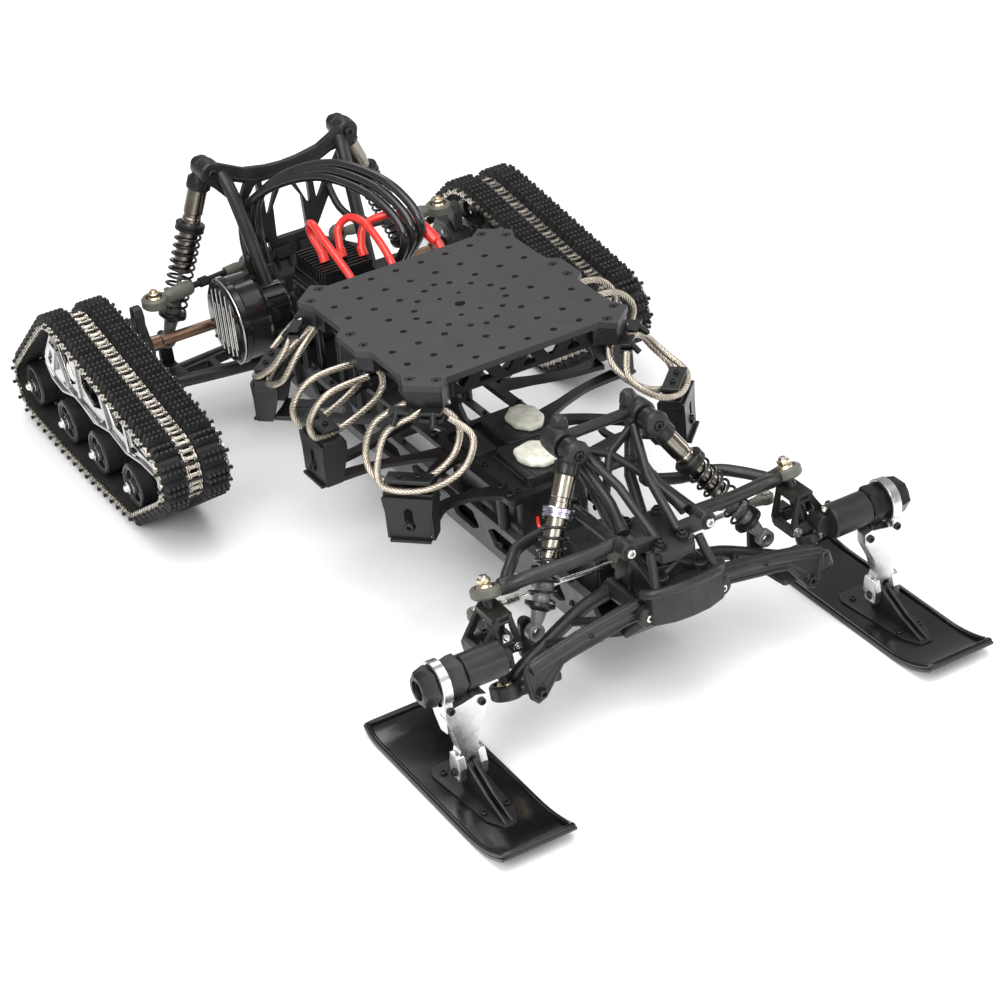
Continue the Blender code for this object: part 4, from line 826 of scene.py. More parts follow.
    # ------------------------------------------------------------ upright: triangular window frame over the axle barrel
    kb = f"f_knuckle_{tag}"
    p, q, al = Piece(), Piece(), Piece()
    M4 = Matrix(((0.94, 0, -0.34, 318), (0, s * 1.0, 0, 0), (0.34 * 0, 0, 0, 0), (0, 0, 0, 1)))
    tri = [(133, 124.4), (146, 124.4), (151, 116), (164, 96), (163, 88), (127, 88), (126, 96), (131, 116)]
    hole = [(135.5, 116.6), (144, 116.6), (154.5, 98), (132.5, 98)]
    tri_l = [(s * a, b) for a, b in tri]
    hole_l = [(s * a, b) for a, b in hole]
    top_w = rounded([(s * 136, 122.5), (s * 143.5, 122.5), (s * 143.5, 119.6), (s * 136, 119.6)], 0.8)
    p.prism([rounded(tri_l, 2), rounded(hole_l, 1.5), top_w], 321, 325, "yz", edge=0.7)
    p.prism([rounded(tri_l, 2), rounded(hole_l, 1.5)], 295, 299, "yz", edge=0.7)
    p.box((297, 323), span(s * 127, s * 131), (87, 96))
    p.box((297, 323), span(s * 131.5, s * 149), (116.5, 123.6))
    p.box((297, 323), span(s * 159, s * 163.5), (88, 100))
    p.turn([(0, 0), (0, 13), (1.5, 14.5), (35, 14.5), (36, 13), (36, 0)], (AX, s * 152, AZ), (0, s, 0), 36)
    p.tube([(322, s * 150, 98), (338, s * 150, 98)], 8, 16)
    p.box((284, 300), span(s * 136, s * 146), (88, 98))
    p.turn([(0, 0), (0, 10.6), (8, 10.6), (8, 0)], lb + king * 18, king, 24)
    p.done(f"upright_{tag}", "arm", kb, node=f"knuckle_{tag}", bevel=0.4)
    # hexagon, washer and wheel nut
    q.turn([(0, 0), (0, 13), (1.4, 14.6), (6.6, 14.6), (15, 13), (15, 0)], (AX, s * 188.4, AZ), (0, s, 0), 36, hexes=(1, 2, 3, 4))
    q.turn([(0, 0), (0, 14), (2.5, 14.6), (11, 12.6), (12.6, 11.2), (12.6, 8.2), (10.2, 7.8), (10.2, 5.6), (3, 5.6), (3, 0)], (AX, s * 212.6, AZ), (0, s, 0), 36, hexes=(1, 2, 3))
    q.screw((325, s * 161, 108), (1, 0, 0), 3.0, 2.4)
    q.done(f"wheel_nut_{tag}", "black", kb)
    al.ring((325.8, s * 157.5, 93), (1, 0, 0), 4.6, 2.4, 1.6, 26, 0.3)
    al.ring((325.8, s * 130.6, 93), (1, 0, 0), 4.2, 2.2, 1.6, 26, 0.3)
    al.screw((325.8, s * 157.5, 93), (1, 0, 0), 2.3, 1.4)
    al.screw((325.8, s * 130.6, 93), (1, 0, 0), 2.1, 1.4)
    al.screw((AX + 2, s * 147, 114.6), (0.2, 0, 1), 2.6, 2.6)
    al.done(f"upright_screws_{tag}", "steel", kb)

    # ------------------------------------------------------------ ski leg: split clamp, tapering blade and fork
    al = Piece()
    al.ring((AX, s * 208, AZ), (0, 1, 0), 18.6, 14.8, 8.6, 64, 0.6)
    blade = [(212.3, 92), (212.3, 78), (207, 58), (203.5, 44), (205.5, 36), (208, 18), (206, 15), (200.5, 15), (199.5, 18), (198.6, 33), (195, 36.5), (191.4, 33), (190.5, 18), (189.5, 15), (184, 15), (182, 18), (184.5, 36), (187.5, 44), (184, 58), (176, 76), (176, 86), (184, 88), (203.8, 84)]
    cheek = [(AX - 12, 90), (AX + 14, 89), (AX + 16.5, 80), (AX + 15, 60), (AX + 19.5, 30), (AX + 17, 15), (AX + 4, 15), (AX + 2.5, 30), (AX - 2, 60), (AX - 10, 80)]
    n0 = len(al.verts) if hasattr(al, "verts") else 0
    al.prism([rounded([(s * y, z) for y, z in blade], 1.2)], AX + 5.4, AX + 16.6, "yz", edge=0.8)
    for y0, y1 in ((204.4, 211.6),):
        a, b = span(s * y0, s * y1)
        al.prism([rounded([(AX - 14, 92), (AX + 15, 92), (AX + 15.6, 80), (AX + 15, 62), (AX + 4, 60), (AX - 4, 70)], 2)], a, b, "xz", edge=0.7)
    for y0, y1 in ((201.0, 207.4), (182.6, 189.0)):
        a, b = span(s * y0, s * y1)
        al.prism([rounded([(AX + 5, 40), (AX + 16.6, 40), (AX + 19, 28), (AX + 18, 17), (AX + 12, 13.6), (AX + 5, 16), (AX + 2, 24)], 3), circle(AX + 11, 23, 3.95, 26)], a, b, "xz", edge=0.6)
    al.prism([rounded([(s * 190, 52), (s * 200, 52), (s * 203, 74), (s * 190, 78)], 2)], AX - 1, AX + 6, "yz", edge=0.6)
    al.done(f"ski_leg_{tag}", "alu", kb, bevel=0.5)
    c = Piece()
    c.screw((AX + 16.4, s * 207.5, 83), (1, 0, 0), 3.2, 2.4)
    c.screw((AX + 16.4, s * 181, 81), (1, 0, 0), 3.2, 2.4)
    c.screw((AX + 11, s * 208.6, 23), (0, s, 0), 3.0, 1.6)
    c.turn([(0, 0), (0, 16.6), (3, 16.6), (3, 0)], (AX, s * 203.4, AZ), (0, s, 0), 36)
    c.done(f"ski_leg_screws_{tag}", "black", kb)

    # ------------------------------------------------------------ ski: thin dished shell with a raised bead
    x0, x1, y0, y1 = 232.0, 452.0, 161.0, 229.0
    nx, ny = 44, 14

    def height(u, v, s=s):
        x = x0 + (x1 - x0) * u
        z = 1.2
        if x > 396:
            z += 12.0 * ((x - 396) / 56) ** 2.2
        if x < 262:
            z += 5.0 * ((262 - x) / 30) ** 2
        return z
    sh = Piece()
    top, bot = [], []
    for i in range(nx + 1):
        for j in range(ny + 1):
            u, v = i / nx, j / ny
            x = x0 + (x1 - x0) * u
            pinch = 1 - 0.05 * max(0, (u - 0.86) / 0.14) ** 2 - 0.05 * max(0, (0.10 - u) / 0.10) ** 2
            y = (y0 + y1) / 2 + (v - 0.5) * (y1 - y0) * pinch
            z = height(u, v)
            ripple = 0.25 * cos(u * 21) * sin(v * pi) if 0.1 < u < 0.88 else 0
            bot.append((x, s * y, max(0.05, z - 1.15)))
            top.append((x, s * y, z + 1.5 + ripple))
    W = ny + 1
    N = (nx + 1) * W
    F = []
    for i in range(nx):
        for j in range(ny):
            a = i * W + j
            F.append((a, a + 1, a + W + 1, a + W))
            F.append((N + a, N + a + W, N + a + W + 1, N + a + 1))
    for i in range(nx):
        F += [(i * W, (i + 1) * W, N + (i + 1) * W, N + i * W), (i * W + ny, N + i * W + ny, N + (i + 1) * W + ny, (i + 1) * W + ny)]
    for j in range(ny):
        F += [(j, N + j, N + j + 1, j + 1), (nx * W + j, nx * W + j + 1, N + nx * W + j + 1, N + nx * W + j)]
    sh.add(bot + top, F)
    edge = [Vector(top[i * W]) for i in range(0, nx + 1)] + [Vector(top[nx * W + j]) for j in range(1, ny)] + [Vector(top[i * W + ny]) for i in range(nx, -1, -1)] + [Vector(top[j]) for j in range(ny - 1, 0, -1)]
    mid = Vector(((x0 + x1) / 2, s * (y0 + y1) / 2, 0))
    ring_ = []
    for e in edge:
        t = Vector((e.x, e.y, 0)) - mid
        k = Vector((1 - 2.6 / max(30, abs(t.x)), 1 - 2.6 / 34, 0))
        ring_.append(Vector((mid.x + t.x * (1 - 2.4 / 110), mid.y + t.y * (1 - 2.4 / 34), e.z + 0.6)))
    sh.tube(ring_, 2.3, 10, cyclic=True)
    ob = sh.done(f"ski_shell_{tag}", "gloss", f"f_ski_{tag}", node=f"ski_{tag}", angle=50)
    post = Piece()
    px = AX + 11
    for yy in (190.6, 196.6):
        rib = [(px - 9, 2.4), (px + 58, 2.4), (px + 56, 6), (px + 30, 15), (px + 8, 27), (px + 3, 31), (px - 3, 31), (px - 7, 27), (px - 9, 12)]
        a, b = span(s * yy, s * (yy + 2.8))
        post.prism([rounded(rib, 3)], a, b, "xz", edge=0.7)
    post.prism([rounded([(px - 7, 20), (px - 6, 27), (px - 2, 29.6), (px + 3, 29.6), (px + 6, 26), (px + 7, 18), (px + 24, 6), (px + 20, 2.4), (px - 6, 2.4)], 3)], span(s * 192, s * 198)[0], span(s * 192, s * 198)[1], "xz", edge=0.6)
    post.prism([rounded([(px - 40, s * 180), (px - 30, s * 176), (px + 44, s * 182), (px + 60, s * 190), (px + 60, s * 200), (px + 44, s * 208), (px - 30, s * 214), (px - 40, s * 210)], 4)], 2.0, 4.4, edge=0.8)
    post.cyl((px, s * 181.6, 23), (px, s * 208.4, 23), 3.7, n=24, ch=0.6)
    for x in (px - 26, px + 36):
        for y in (185, 205):
            post.screw((x, s * y, 4.4), (0, 0, 1), 2.8, 2.2)
    post.done(f"ski_post_{tag}", "nylon", f"f_ski_{tag}")

    coil_over(s, tag, F_TOP, F_BOT, (f"f_damper_{tag}", f"f_rod_{tag}", "front_shock"), 0.98, 7.5, ("bronze", "collar" if tag == "r" else "black"))
    coil_over(s, tag, R_TOP, R_BOT, (f"r_damper_{tag}", f"r_rod_{tag}", "rear_shock"), 1.08, 10.5, ("bronze", "black"))

# ---------------------------------------------------------------- rear tower and braces
wing = [(-22, 150), (-27, 176), (-44, 204), (-70, 236), (-80, 246), (-80, 258), (-70, 262), (-62, 259), (-38, 247), (-16, 243), (0, 242),
        (16, 243), (38, 247), (62, 259), (70, 262), (80, 258), (80, 246), (70, 236), (44, 204), (27, 176), (22, 150)]
wins = [rounded(w_, 2) for w_ in ([(-61, 239), (-47, 218), (-38, 236)], [(61, 239), (38, 236), (47, 218)], [(-42, 213), (-30, 191), (-28, 231)], [(42, 213), (28, 231), (30, 191)],
                                  [(-23, 230), (-23, 188), (-5, 231)], [(23, 230), (5, 231), (23, 188)], [(-15, 204), (-16, 168), (16, 168), (15, 204), (0, 226)])]
p, q = Piece(), Piece()
p.prism([rounded(wing, 3)] + wins, -309, -302.4, "yz", edge=0.8)
for a, b in (((-78, 252), (-30, 232)), ((78, 252), (30, 232)), ((-46, 206), (-24, 168)), ((46, 206), (24, 168)), ((-30, 232), (30, 232))):
    p.tube([(-306, a[0], a[1]), (-306, b[0], b[1])], 4.0, 10)
for y0, y1 in ((-22, -4), (4, 22)):
    p.prism([rounded([(-312, y0), (-298, y0), (-298, y1), (-312, y1)], 2)], 148.4, 160, edge=0.8)
for sy in (-1, 1):
    p.turn([(0, 0), (0, 9), (1.5, 10.6), (9, 11.4), (15, 11.4), (16, 10), (16, 0)], (-302, sy * 71, 252), (-1, 0, 0), 30)
    p.turn([(0, 0), (0, 5.8), (14, 5.8), (14, 0)], (-317, sy * 71, 252), (-1, 0, 0), 20)
    q.screw((-302, sy * 71, 252), (1, 0, 0), 4.4, 3.0)
    q.turn([(0, 0), (0, 6.6), (5, 6.6), (6, 5.4), (6, 0)], (-331, sy * 71, 252), (-1, 0, 0), 22)
    p.tube(smooth([(-305, sy * 62, 248), (-292, sy * 59, 233), (-270, sy * 55, 185), (-250, sy * 52, 138), (-228, sy * 49, 86)], 4), 6.2, 16)
    p.tube(smooth([(-306, sy * 44, 206), (-290, sy * 46, 186), (-268, sy * 53, 176)], 4), 3.6, 12)
    p.tube([(-256, sy * 53, 152), (-300, sy * 26, 156)], 3.8, 12)
    p.prism([rounded([(-238, 58), (-218, 58), (-220, 94), (-234, 94)], 3)], span(sy * 45.7, sy * 53)[0], span(sy * 45.7, sy * 53)[1], "xz", edge=0.8)
    for z in (66, 84):
        q.screw((-228, sy * 53, z), (0, sy, 0), 2.6, 2.2)
    q.screw((-268, sy * 60.5, 176), (0, sy, 0), 2.8, 2.4)
p.done("rear_tower", "nylon", "chassis", node="rear_shock_tower", bevel=0.3)
for y in (-13, 13):
    q.screw((-305, y, 160), (0, 0, 1), 2.8, 2.6)
q.done("rear_tower_screws", "black", "chassis")

# ---------------------------------------------------------------- gearbox, motor and its cover
p, q, lines, can = Piece(), Piece(), Piece(), Piece()
gx = [(-345, 52), (-345, 128), (-336, 147), (-304, 147.6), (-293, 132), (-293, 52)]
p.prism([rounded(gx, 6)], -33, 33, "xz", edge=2.0)
p.prism([rounded([(-343, 56), (-343, 124), (-334, 143), (-306, 143), (-297, 130), (-297, 56)], 6)], -36, 36, "xz", edge=1.0)
for y in (-20, -8, 8, 20):
    p.box((-341, -297), (y - 1.2, y + 1.2), (60, 148.2))
for sy in (-1, 1):
    p.turn([(0, 0), (0, 24), (3, 24), (4, 21), (6.5, 20), (6.5, 15), (8.4, 14), (8.4, 0)], (RX, sy * 35, RZ), (0, sy, 0), 36)
    for k in range(6):
        a = tau * k / 6
        q.screw((RX + 21 * cos(a), sy * 38, RZ + 21 * sin(a)), (0, sy, 0), 2.0, 1.8)
p.prism([rounded([(-331, 126), (-286, 126), (-262, 128), (-262, 144), (-290, 144), (-331, 138)], 4)], -71, -31, "xz", edge=1.2)
p.prism([rounded([(-206, -30), (-300, -34), (-300, -36.4), (-206, -36.4)][::-1], 1)], 49.8, 52, edge=0.4)
p.done("gearbox", "nylon", "chassis", node="drive_unit", bevel=0.3)
mx, mz = -257.0, 126.0
can.turn([(0, 0), (0, 36), (1.2, 38.6), (2.6, 40), (3.4, 41.7), (8.8, 41.9), (9.4, 40.4), (11, 40), (29, 40), (30.5, 38.5), (33, 36), (33.8, 30), (33.8, 0)], (mx, -99.8, mz), (0, 1, 0), 72)
can.turn([(0, 0), (0, 26), (2, 27.5), (24, 27.5), (26, 25), (26, 0)], (mx, -66.2, mz), (0, 1, 0), 48)
for k in range(16):
    a = tau * k / 16
    can.box((mx - 1 + 27.4 * cos(a), mx + 1 + 27.4 * cos(a)), (-62, -44), (mz - 1 + 27.4 * sin(a), mz + 1 + 27.4 * sin(a)))
can.done("motor_cover", "can", "chassis")
# painted highlight: a bright steel arc along the rim on the side towards the key light, and a plain set of grooves
# drawn as bright steel lines, their brightness painted highlight, generic
rim = [(mx + 41.0 * cos(a), -98.2, mz + 41.0 * sin(a)) for a in [radians(-62 + 3 * k) for k in range(56)]]
lines.tube(rim, 0.95, 10)
for k, (L0, L1) in enumerate(((-30, 22), (-33, 26), (-32, 30), (-28, 32), (-20, 31))):
    x = mx - 20 + k * 10.0
    reach = sqrt(max(4, 35.5 ** 2 - (x - mx) ** 2))
    lines.tube([(x, -100.1, mz - reach * 0.92), (x, -100.1, mz + reach * 0.92)], 0.85, 8)
    lines.tube([(x + 4, -100.1, mz - reach * 0.66), (x + 4, -100.1, mz + reach * 0.5)], 0.6, 8)
lines.done("cover_grooves_and_rim_painted_highlights", "steel", "chassis")
for a in (0.5, 2.2, 3.9, 5.4):
    q.screw((mx + 37 * cos(a), -99.6, mz + 37 * sin(a)), (0, -1, 0), 1.8, 0.9)
q.done("gearbox_screws", "black", "chassis")

# ---------------------------------------------------------------- speed controller
p, q, lab = Piece(), Piece(), Piece()
p.prism([rounded([(-210, -47), (-140, -47), (-140, 11), (-210, 11)], 3)], 158, 178, edge=0.8)
p.prism([rounded([(-207, -44), (-143, -44), (-143, 8), (-207, 8)], 2)], 176, 186, edge=0.6)
for k in range(11):
    x = -204 + k * 5.7
    p.box((x, x + 2.2), (-42, 6), (184, 199.6))
for x, y in ((-196, -34), (-196, 0), (-152, -34), (-152, 0)):
    p.cyl((x, y, 49.4), (x, y, 160), 3.6, n=18)
p.done("controller_case", "can", "chassis", node="speed_controller", bevel=0.3)
lab.box((-139.6, -139.1), (-40, 4), (161, 163))
lab.box((-206, -144), (-47.5, -47.0), (172, 173.4))
lab.done("controller_trim", "steel", "chassis")
q.prism([rounded([(-136, -26), (-96, -26), (-96, 18), (-136, 18)], 3)], 164, 184, edge=1.0)
q.prism([rounded([(-130, 18), (-104, 18), (-104, 30), (-130, 30)], 2)], 168, 178, edge=0.8)
q.done("receiver_box", "tray", "chassis")
c = Piece()
for k in range(2):
    c.turn([(0, 0), (0, 6), (13, 6), (14, 5), (14, 0)], (-132 + k * 14, 36, 160), (0, 0, 1), 24)
c.done("capacitors", "blue", "chassis")
stand = Piece()
stand.prism([rounded([(-214, -50), (-92, -50), (-92, 44), (-214, 44)], 4), rounded([(-196, -34), (-150, -34), (-150, 30), (-196, 30)], 6)], 154, 157.6, edge=0.6)
for x in (-208, -98):
    for y in (-44, 38):
        stand.cyl((x, y, 80.4), (x, y, 155), 3.6, n=16)
stand.done("controller_shelf", "frame", "chassis")


def lead(name, route, r, mat, nodes=None, pieces=None):
    path = smooth(route, 8)
    path = resample(path, 4.0)
    ob = Piece().tube(path, r, 16).done(name, mat, "chassis", node=nodes or ())
    return ob


ends = Piece()
for k in (-1, 0, 1):
    o = Vector((3.0 * k, 7.0 * k, 5.5 * k))
    route = [Vector(v) + o for v in ((-282, -46, 150), (-292, -46, 190), (-290, -40, 218), (-274, -22, 238), (-248, 2, 251), (-216, 20, 255), (-165, 36, 248), (-128, 42, 224), (-146, 38, 190), (-168, 34, 172))]
    lead(f"motor_lead_{k + 2}", route, 4.2, "lead", nodes="motor_leads" if k == 0 else None)
    ends.turn([(0, 0), (0, 5.4), (9, 5.2), (10, 4.4), (10, 0)], route[0] + Vector((0, 0, -6)), (0, 0, 1), 20)
    ends.turn([(0, 0), (0, 5.3), (16, 4.7), (16, 0)], route[-1] + Vector((-8, -2, -6)), Vector((22, 4, 18)), 20)
ends.prism([rounded([(-290, -57), (-274, -57), (-274, -35), (-290, -35)], 3)], 138, 150, edge=1.0)
ends.prism([rounded([(-184, 18), (-158, 18), (-158, 52), (-184, 52)], 3)], 157.0, 177, edge=1.0)
ends.done("motor_lead_ends", "black", "chassis")
red = Piece()
for n_, (route, r) in enumerate(((((-170, -30, 206), (-186, -32, 222), (-176, -34, 236), (-150, -34, 226), (-116, -30, 204), (-100, -28, 186)), 3.6),
                              (((-166, -14, 207), (-178, -8, 222), (-172, 2, 232), (-146, 6, 232), (-112, 8, 212), (-100, 8, 186)), 3.6),
                              (((-160, 4, 205), (-168, 14, 222), (-156, 36, 230), (-138, 54, 221), (-120, 62, 206), (-106, 58, 186), (-102, 42, 168), (-102, 36, 158)), 3.6))):
    lead(f"battery_lead_{n_ + 1}", route, r, "red", nodes="battery_leads" if n_ == 0 else None)
    red.turn([(0, 0), (0, 4.6), (8, 4.4), (9, 3.8), (9, 0)], Vector(route[0]) + Vector((3, 0, -6)), (-0.5, 0, 1), 20)
    red.turn([(0, 0), (0, 5.0), (16, 4.6), (17, 3.8), (17, 0)], Vector(route[-1]) + Vector((2, 0, -3)), (-0.62, 0, 1), 20)
red.turn([(0, 0), (0, 5.0), (2, 5.8), (20, 5.8), (22, 5.0), (22, 0)], (-138, 54, 221), (18, 8, -15), 24)
red.done("battery_lead_ends", "red", "chassis")
wires = Piece()
wires.tube(smooth([(-140, 4, 166), (-120, -10, 176), (-96, -22, 190), (-84, -30, 196), (-70, -38, 176), (-64, -40, 140), (-60, -38, 122)], 6), 1.6, 10)
wires.tube(smooth([(-142, -20, 166), (-110, -36, 176), (-84, -44, 166), (-76, -42, 124)], 6), 1.4, 10)
wires.done("signal_leads", "lead", "chassis")


# ---------------------------------------------------------------- track path
def hull(grow, n=90):
    pts = []
    for cx_, cz_, r in [(RX, RZ, 45.0)] + [(x, z, 21.8) for x, z in WHEELS] + [NOSE]:
        for i in range(n):
            pts.append((round(cx_ + (r + grow) * cos(tau * i / n), 4), round(cz_ + (r + grow) * sin(tau * i / n), 4)))
    pts = sorted(set(pts))

    def half_(seq):
        out_ = []
        for p_ in seq:
            while len(out_) > 1 and (out_[-1][0] - out_[-2][0]) * (p_[1] - out_[-2][1]) - (out_[-1][1] - out_[-2][1]) * (p_[0] - out_[-2][0]) <= 1e-6:
                out_.pop()
            out_.append(p_)
        return out_[:-1]
    return half_(pts) + half_(pts[::-1])


LOOP = hull(3.6)
ring_ = LOOP + [LOOP[0]]
runs = [hypot(b[0] - a[0], b[1] - a[1]) for a, b in zip(ring_, ring_[1:])]
TOTAL = sum(runs)


def at(t):
    """The point at a fraction t of the loop."""
    t = (t % 1.0) * TOTAL
    for a, b, r in zip(ring_, ring_[1:], runs):
        if t <= r:
            return Vector((a[0] + (b[0] - a[0]) * t / r, 0, a[1] + (b[1] - a[1]) * t / r))
        t -= r
    return Vector((ring_[0][0], 0, ring_[0][1]))


BARS = 56
STEPS = BARS * 2


def frame_at(t, e=0.004):
    a, b = at(t - e), at(t + e)
    f = (b - a).normalized()
    return at(t), f, Vector((f.z, 0, -f.x))


def block(piece, t, s, y0, y1, length, z0, z1, taper=1.0, shift=0.0):
    """A block across the belt, at loop fraction t, from y0 to y1, its top tapering."""
    o, f, u = frame_at(t)
    vs = []
    for z, k in ((z0, 1.0), (z1, taper)):
        for y in (y0, y1):
            for x in (-1, 1):
                ym = (y0 + y1) / 2
                vs.append(o + f * (x * length / 2 * k + shift) + u * z + Vector((0, s * (ym + (y - ym) * (0.5 + k / 2)), 0)))
    piece.add(vs, [(0, 2, 3, 1), (4, 5, 7, 6), (0, 1, 5, 4), (2, 6, 7, 3), (0, 4, 6, 2), (1, 3, 7, 5)])


def link(piece, t0, t1, s, y, th, r, waist):
    """A link plate between two pins: a figure of eight."""
    a, b = at(t0), at(t1)
    f = (b - a)
    L = f.length
    f.normalize()
    u = Vector((f.z, 0, -f.x))
    out_ = []
    for c_, base in ((0.0, pi), (L, 0.0)):
        for k in range(7):
            ang = base - pi / 2 + pi * k / 6 if base == 0.0 else base - pi / 2 + pi * k / 6
            out_.append((c_ + r * cos(ang), r * sin(ang)))
        out_.append((L / 2, waist if base == 0.0 else -waist))
    n = len(out_)
    vs = [a + f * p_[0] + u * p_[1] + Vector((0, s * yy, 0)) for yy in (y, y + th) for p_ in out_]
    F_ = [tuple(range(n)), tuple(range(2 * n - 1, n - 1, -1))] + [(i, n + i, n + (i + 1) % n, (i + 1) % n) for i in range(n)]
    piece.add(vs, F_)


for tag, s in (("r", -1), ("l", 1)):
    pod = f"r_pod_{tag}"
    rub, ch, sc, pin = Piece(), Piece(), Piece(), Piece()
    for i in range(BARS):
        t = (i + 0.25) / BARS
        for y0, y1 in ((187.5, 211.0), (226.5, 249.5)):
            block(rub, t, s, y0, y1, 11.6, 1.2, 4.6, 0.94)
            for dx in (-3.0, 3.0):
                block(rub, t, s, y0 + 0.3, y1 - 0.3, 4.3, 4.2, 7.4, 0.80, dx)
                for k in range(5):
                    yy = y0 + 0.6 + k * (y1 - y0 - 1.2) / 5
                    o_, f_, u_ = frame_at(t)
                    c_ = o_ + f_ * dx + Vector((0, s * (yy + 2.2), 0))
                    rub.turn([(0, 0), (0, 2.2), (4.4, 1.9), (5.1, 1.4), (5.1, 0)], c_ + u_ * 5.5, u_, 8)
        # screw heads standing out of both edges
        o_, f_, u_ = frame_at(t)
        for yy, d_ in ((252.4, s), (185.1, -s)):
            sc.screw(o_ + u_ * 2.6 + Vector((0, s * yy, 0)), (0, d_, 0), 1.9, 2.0, n=12)
        pin.cyl(o_ + u_ * 2.6 + Vector((0, s * 184.6, 0)), o_ + u_ * 2.6 + Vector((0, s * 252.8, 0)), 1.3, n=8)
    for i in range(STEPS):
        t0, t1 = i / STEPS, (i + 1) / STEPS
        wide = i % 2
        for y, th in (((212.4, 1.3), (223.6, 1.3)) if wide else ((214.2, 1.3), (221.8, 1.3))):
            link(ch, t0, t1, s, y, th, 3.6, 2.2)
        for y, th in (((250.6, 1.0), (185.6, 1.0)) if wide else ((249.4, 1.0), (186.9, 1.0))):
            link(ch, t0, t1, s, y, th, 3.4, 1.9)
        o_ = at(t0)
        ch.cyl(o_ + Vector((0, s * 215.6, 0)), o_ + Vector((0, s * 221.7, 0)), 2.5, n=12)
        ch.cyl(o_ + Vector((0, s * 211.6, 0)), o_ + Vector((0, s * 225.7, 0)), 1.5, n=10)
        for y in (185.2, 251.8):
            ch.cyl(o_ + Vector((0, s * (y - 0.2), 0)), o_ + Vector((0, s * (y + 0.5), 0)), 1.5, n=8)
    rub.done(f"track_pads_{tag}", "rubber", pod, node=f"track_belt_{tag}", angle=40)
    ch.done(f"track_chain_{tag}", "chain", pod, angle=40)
    sc.done(f"track_screws_{tag}", "black", pod)
    pin.done(f"track_pins_{tag}", "black", pod)
    # dark inner band under the pads
    inn = Piece()
    N_ = 150
    for y0, y1 in ((189, 210.5), (227, 248.5)):
        vs, F_ = [], []
        for i in range(N_):
            o_, f_, u_ = frame_at(i / N_)
            for z, y in ((-1.6, y0), (-1.6, y1), (1.6, y1), (1.6, y0)):
                vs.append(o_ + u_ * z + Vector((0, s * y, 0)))
        for i in range(N_):
            a_, b_ = i * 4, ((i + 1) % N_) * 4
            for k in range(4):
                F_.append((a_ + k, a_ + (k + 1) % 4, b_ + (k + 1) % 4, b_ + k))
        inn.add(vs, F_)
    inn.done(f"track_band_{tag}", "rubber", pod, angle=50)

    # ------------------------------------------------------------ pod frame
    p, q, st = Piece(), Piece(), Piece()
    outer = [(-372, 84), (-367, 98), (-346, 124), (-330, 135), (-312, 138), (-294, 135), (-270, 124), (-240, 117), (-200, 110), (-160, 104), (-112, 97), (-101, 88), (-108, 76), (-150, 76), (-186, 70), (-222, 76), (-262, 68), (-300, 78), (-338, 68), (-362, 72)]
    wins = [rounded(w_, 3) for w_ in ([(-336, 122), (-318, 129), (-300, 92), (-316, 84)], [(-282, 118), (-244, 110), (-236, 92), (-262, 84), (-286, 96)], [(-228, 108), (-190, 102), (-184, 84), (-212, 86)], [(-176, 99), (-132, 92), (-130, 83), (-172, 84)])]
    a, b = span(s * 234, s * 238)
    p.prism([rounded(outer, 4)] + wins, a, b, "xz", edge=0.9)
    rim = [Vector((x, s * 238.4, z)) for x, z in outer]
    p.tube(rim, 2.2, 10, cyclic=True)
    for (xa, za), (xb, zb) in (((-340, 124), (-318, 80)), ((-292, 130), (-290, 82)), ((-236, 115), (-224, 78)), ((-182, 106), (-180, 74)), ((-240, 114), (-116, 88)), ((-330, 80), (-250, 72))):
        p.tube([(xa, s * 239, za), (xb, s * 239, zb)], 2.0, 10)
    p.prism([rounded([(-366, 94), (-344, 120), (-330, 116), (-346, 86)], 3), rounded([(-356, 96), (-344, 111), (-339, 108), (-349, 93)], 2)], span(s * 238, s * 243)[0], span(s * 238, s * 243)[1], "xz", edge=0.8)
    inner = [(-432, 30), (-434, 54), (-408, 74), (-330, 122), (-290, 122), (-160, 106), (-102, 98), (-94, 82), (-120, 60), (-168, 28)]
    a, b = span(s * 187, s * 190.6)
    p.prism([rounded(inner, 5), circle(RX, RZ, 14, 28), rounded([(-400, 44), (-392, 66), (-346, 90), (-334, 60)], 5), rounded([(-290, 52), (-276, 84), (-210, 84), (-190, 50)], 6)], a, b, "xz", edge=0.6)
    p.done(f"pod_frame_{tag}", "track_alu", pod, node=f"track_frame_{tag}", angle=35)
    for px_, pz_ in ((-232, 80.3), (-362.4, 89.1), (-114.3, 88.7), (-170, 80)):
        q.cyl((px_, s * 189.4, pz_), (px_, s * 236.6, pz_), 4.4, n=18)
        q.screw((px_, s * 238.2, pz_), (0, s, 0), 3.0, 2.8)
    q.turn([(0, 0), (0, 21), (2, 23.2), (30, 23.2), (32, 21), (32, 0)], (NOSE[0], s * 197, NOSE[1]), (0, s, 0), 40)
    for wx, wz in WHEELS:
        q.cyl((wx, s * 190, wz), (wx, s * 244, wz), 3.9, n=18)
    q.done(f"pod_bolts_{tag}", "black", pod)
    for wx, wz in WHEELS:
        # acorn nuts on the axle ends
        st.turn([(0, 0), (0, 4.6), (0.5, 5.0), (3.4, 5.0), (3.8, 4.2), (5.0, 3.9), (6.6, 2.8), (7.2, 1.2), (7.3, 0)], (wx, s * 243.6, wz), (0, s, 0), 24, hexes=(1, 2, 3))
        st.ring((wx, s * 243.2, wz), (0, 1, 0), 6.0, 3.9, 0.8, 28, 0.2)
    st.done(f"axle_nuts_{tag}", "steel", pod)
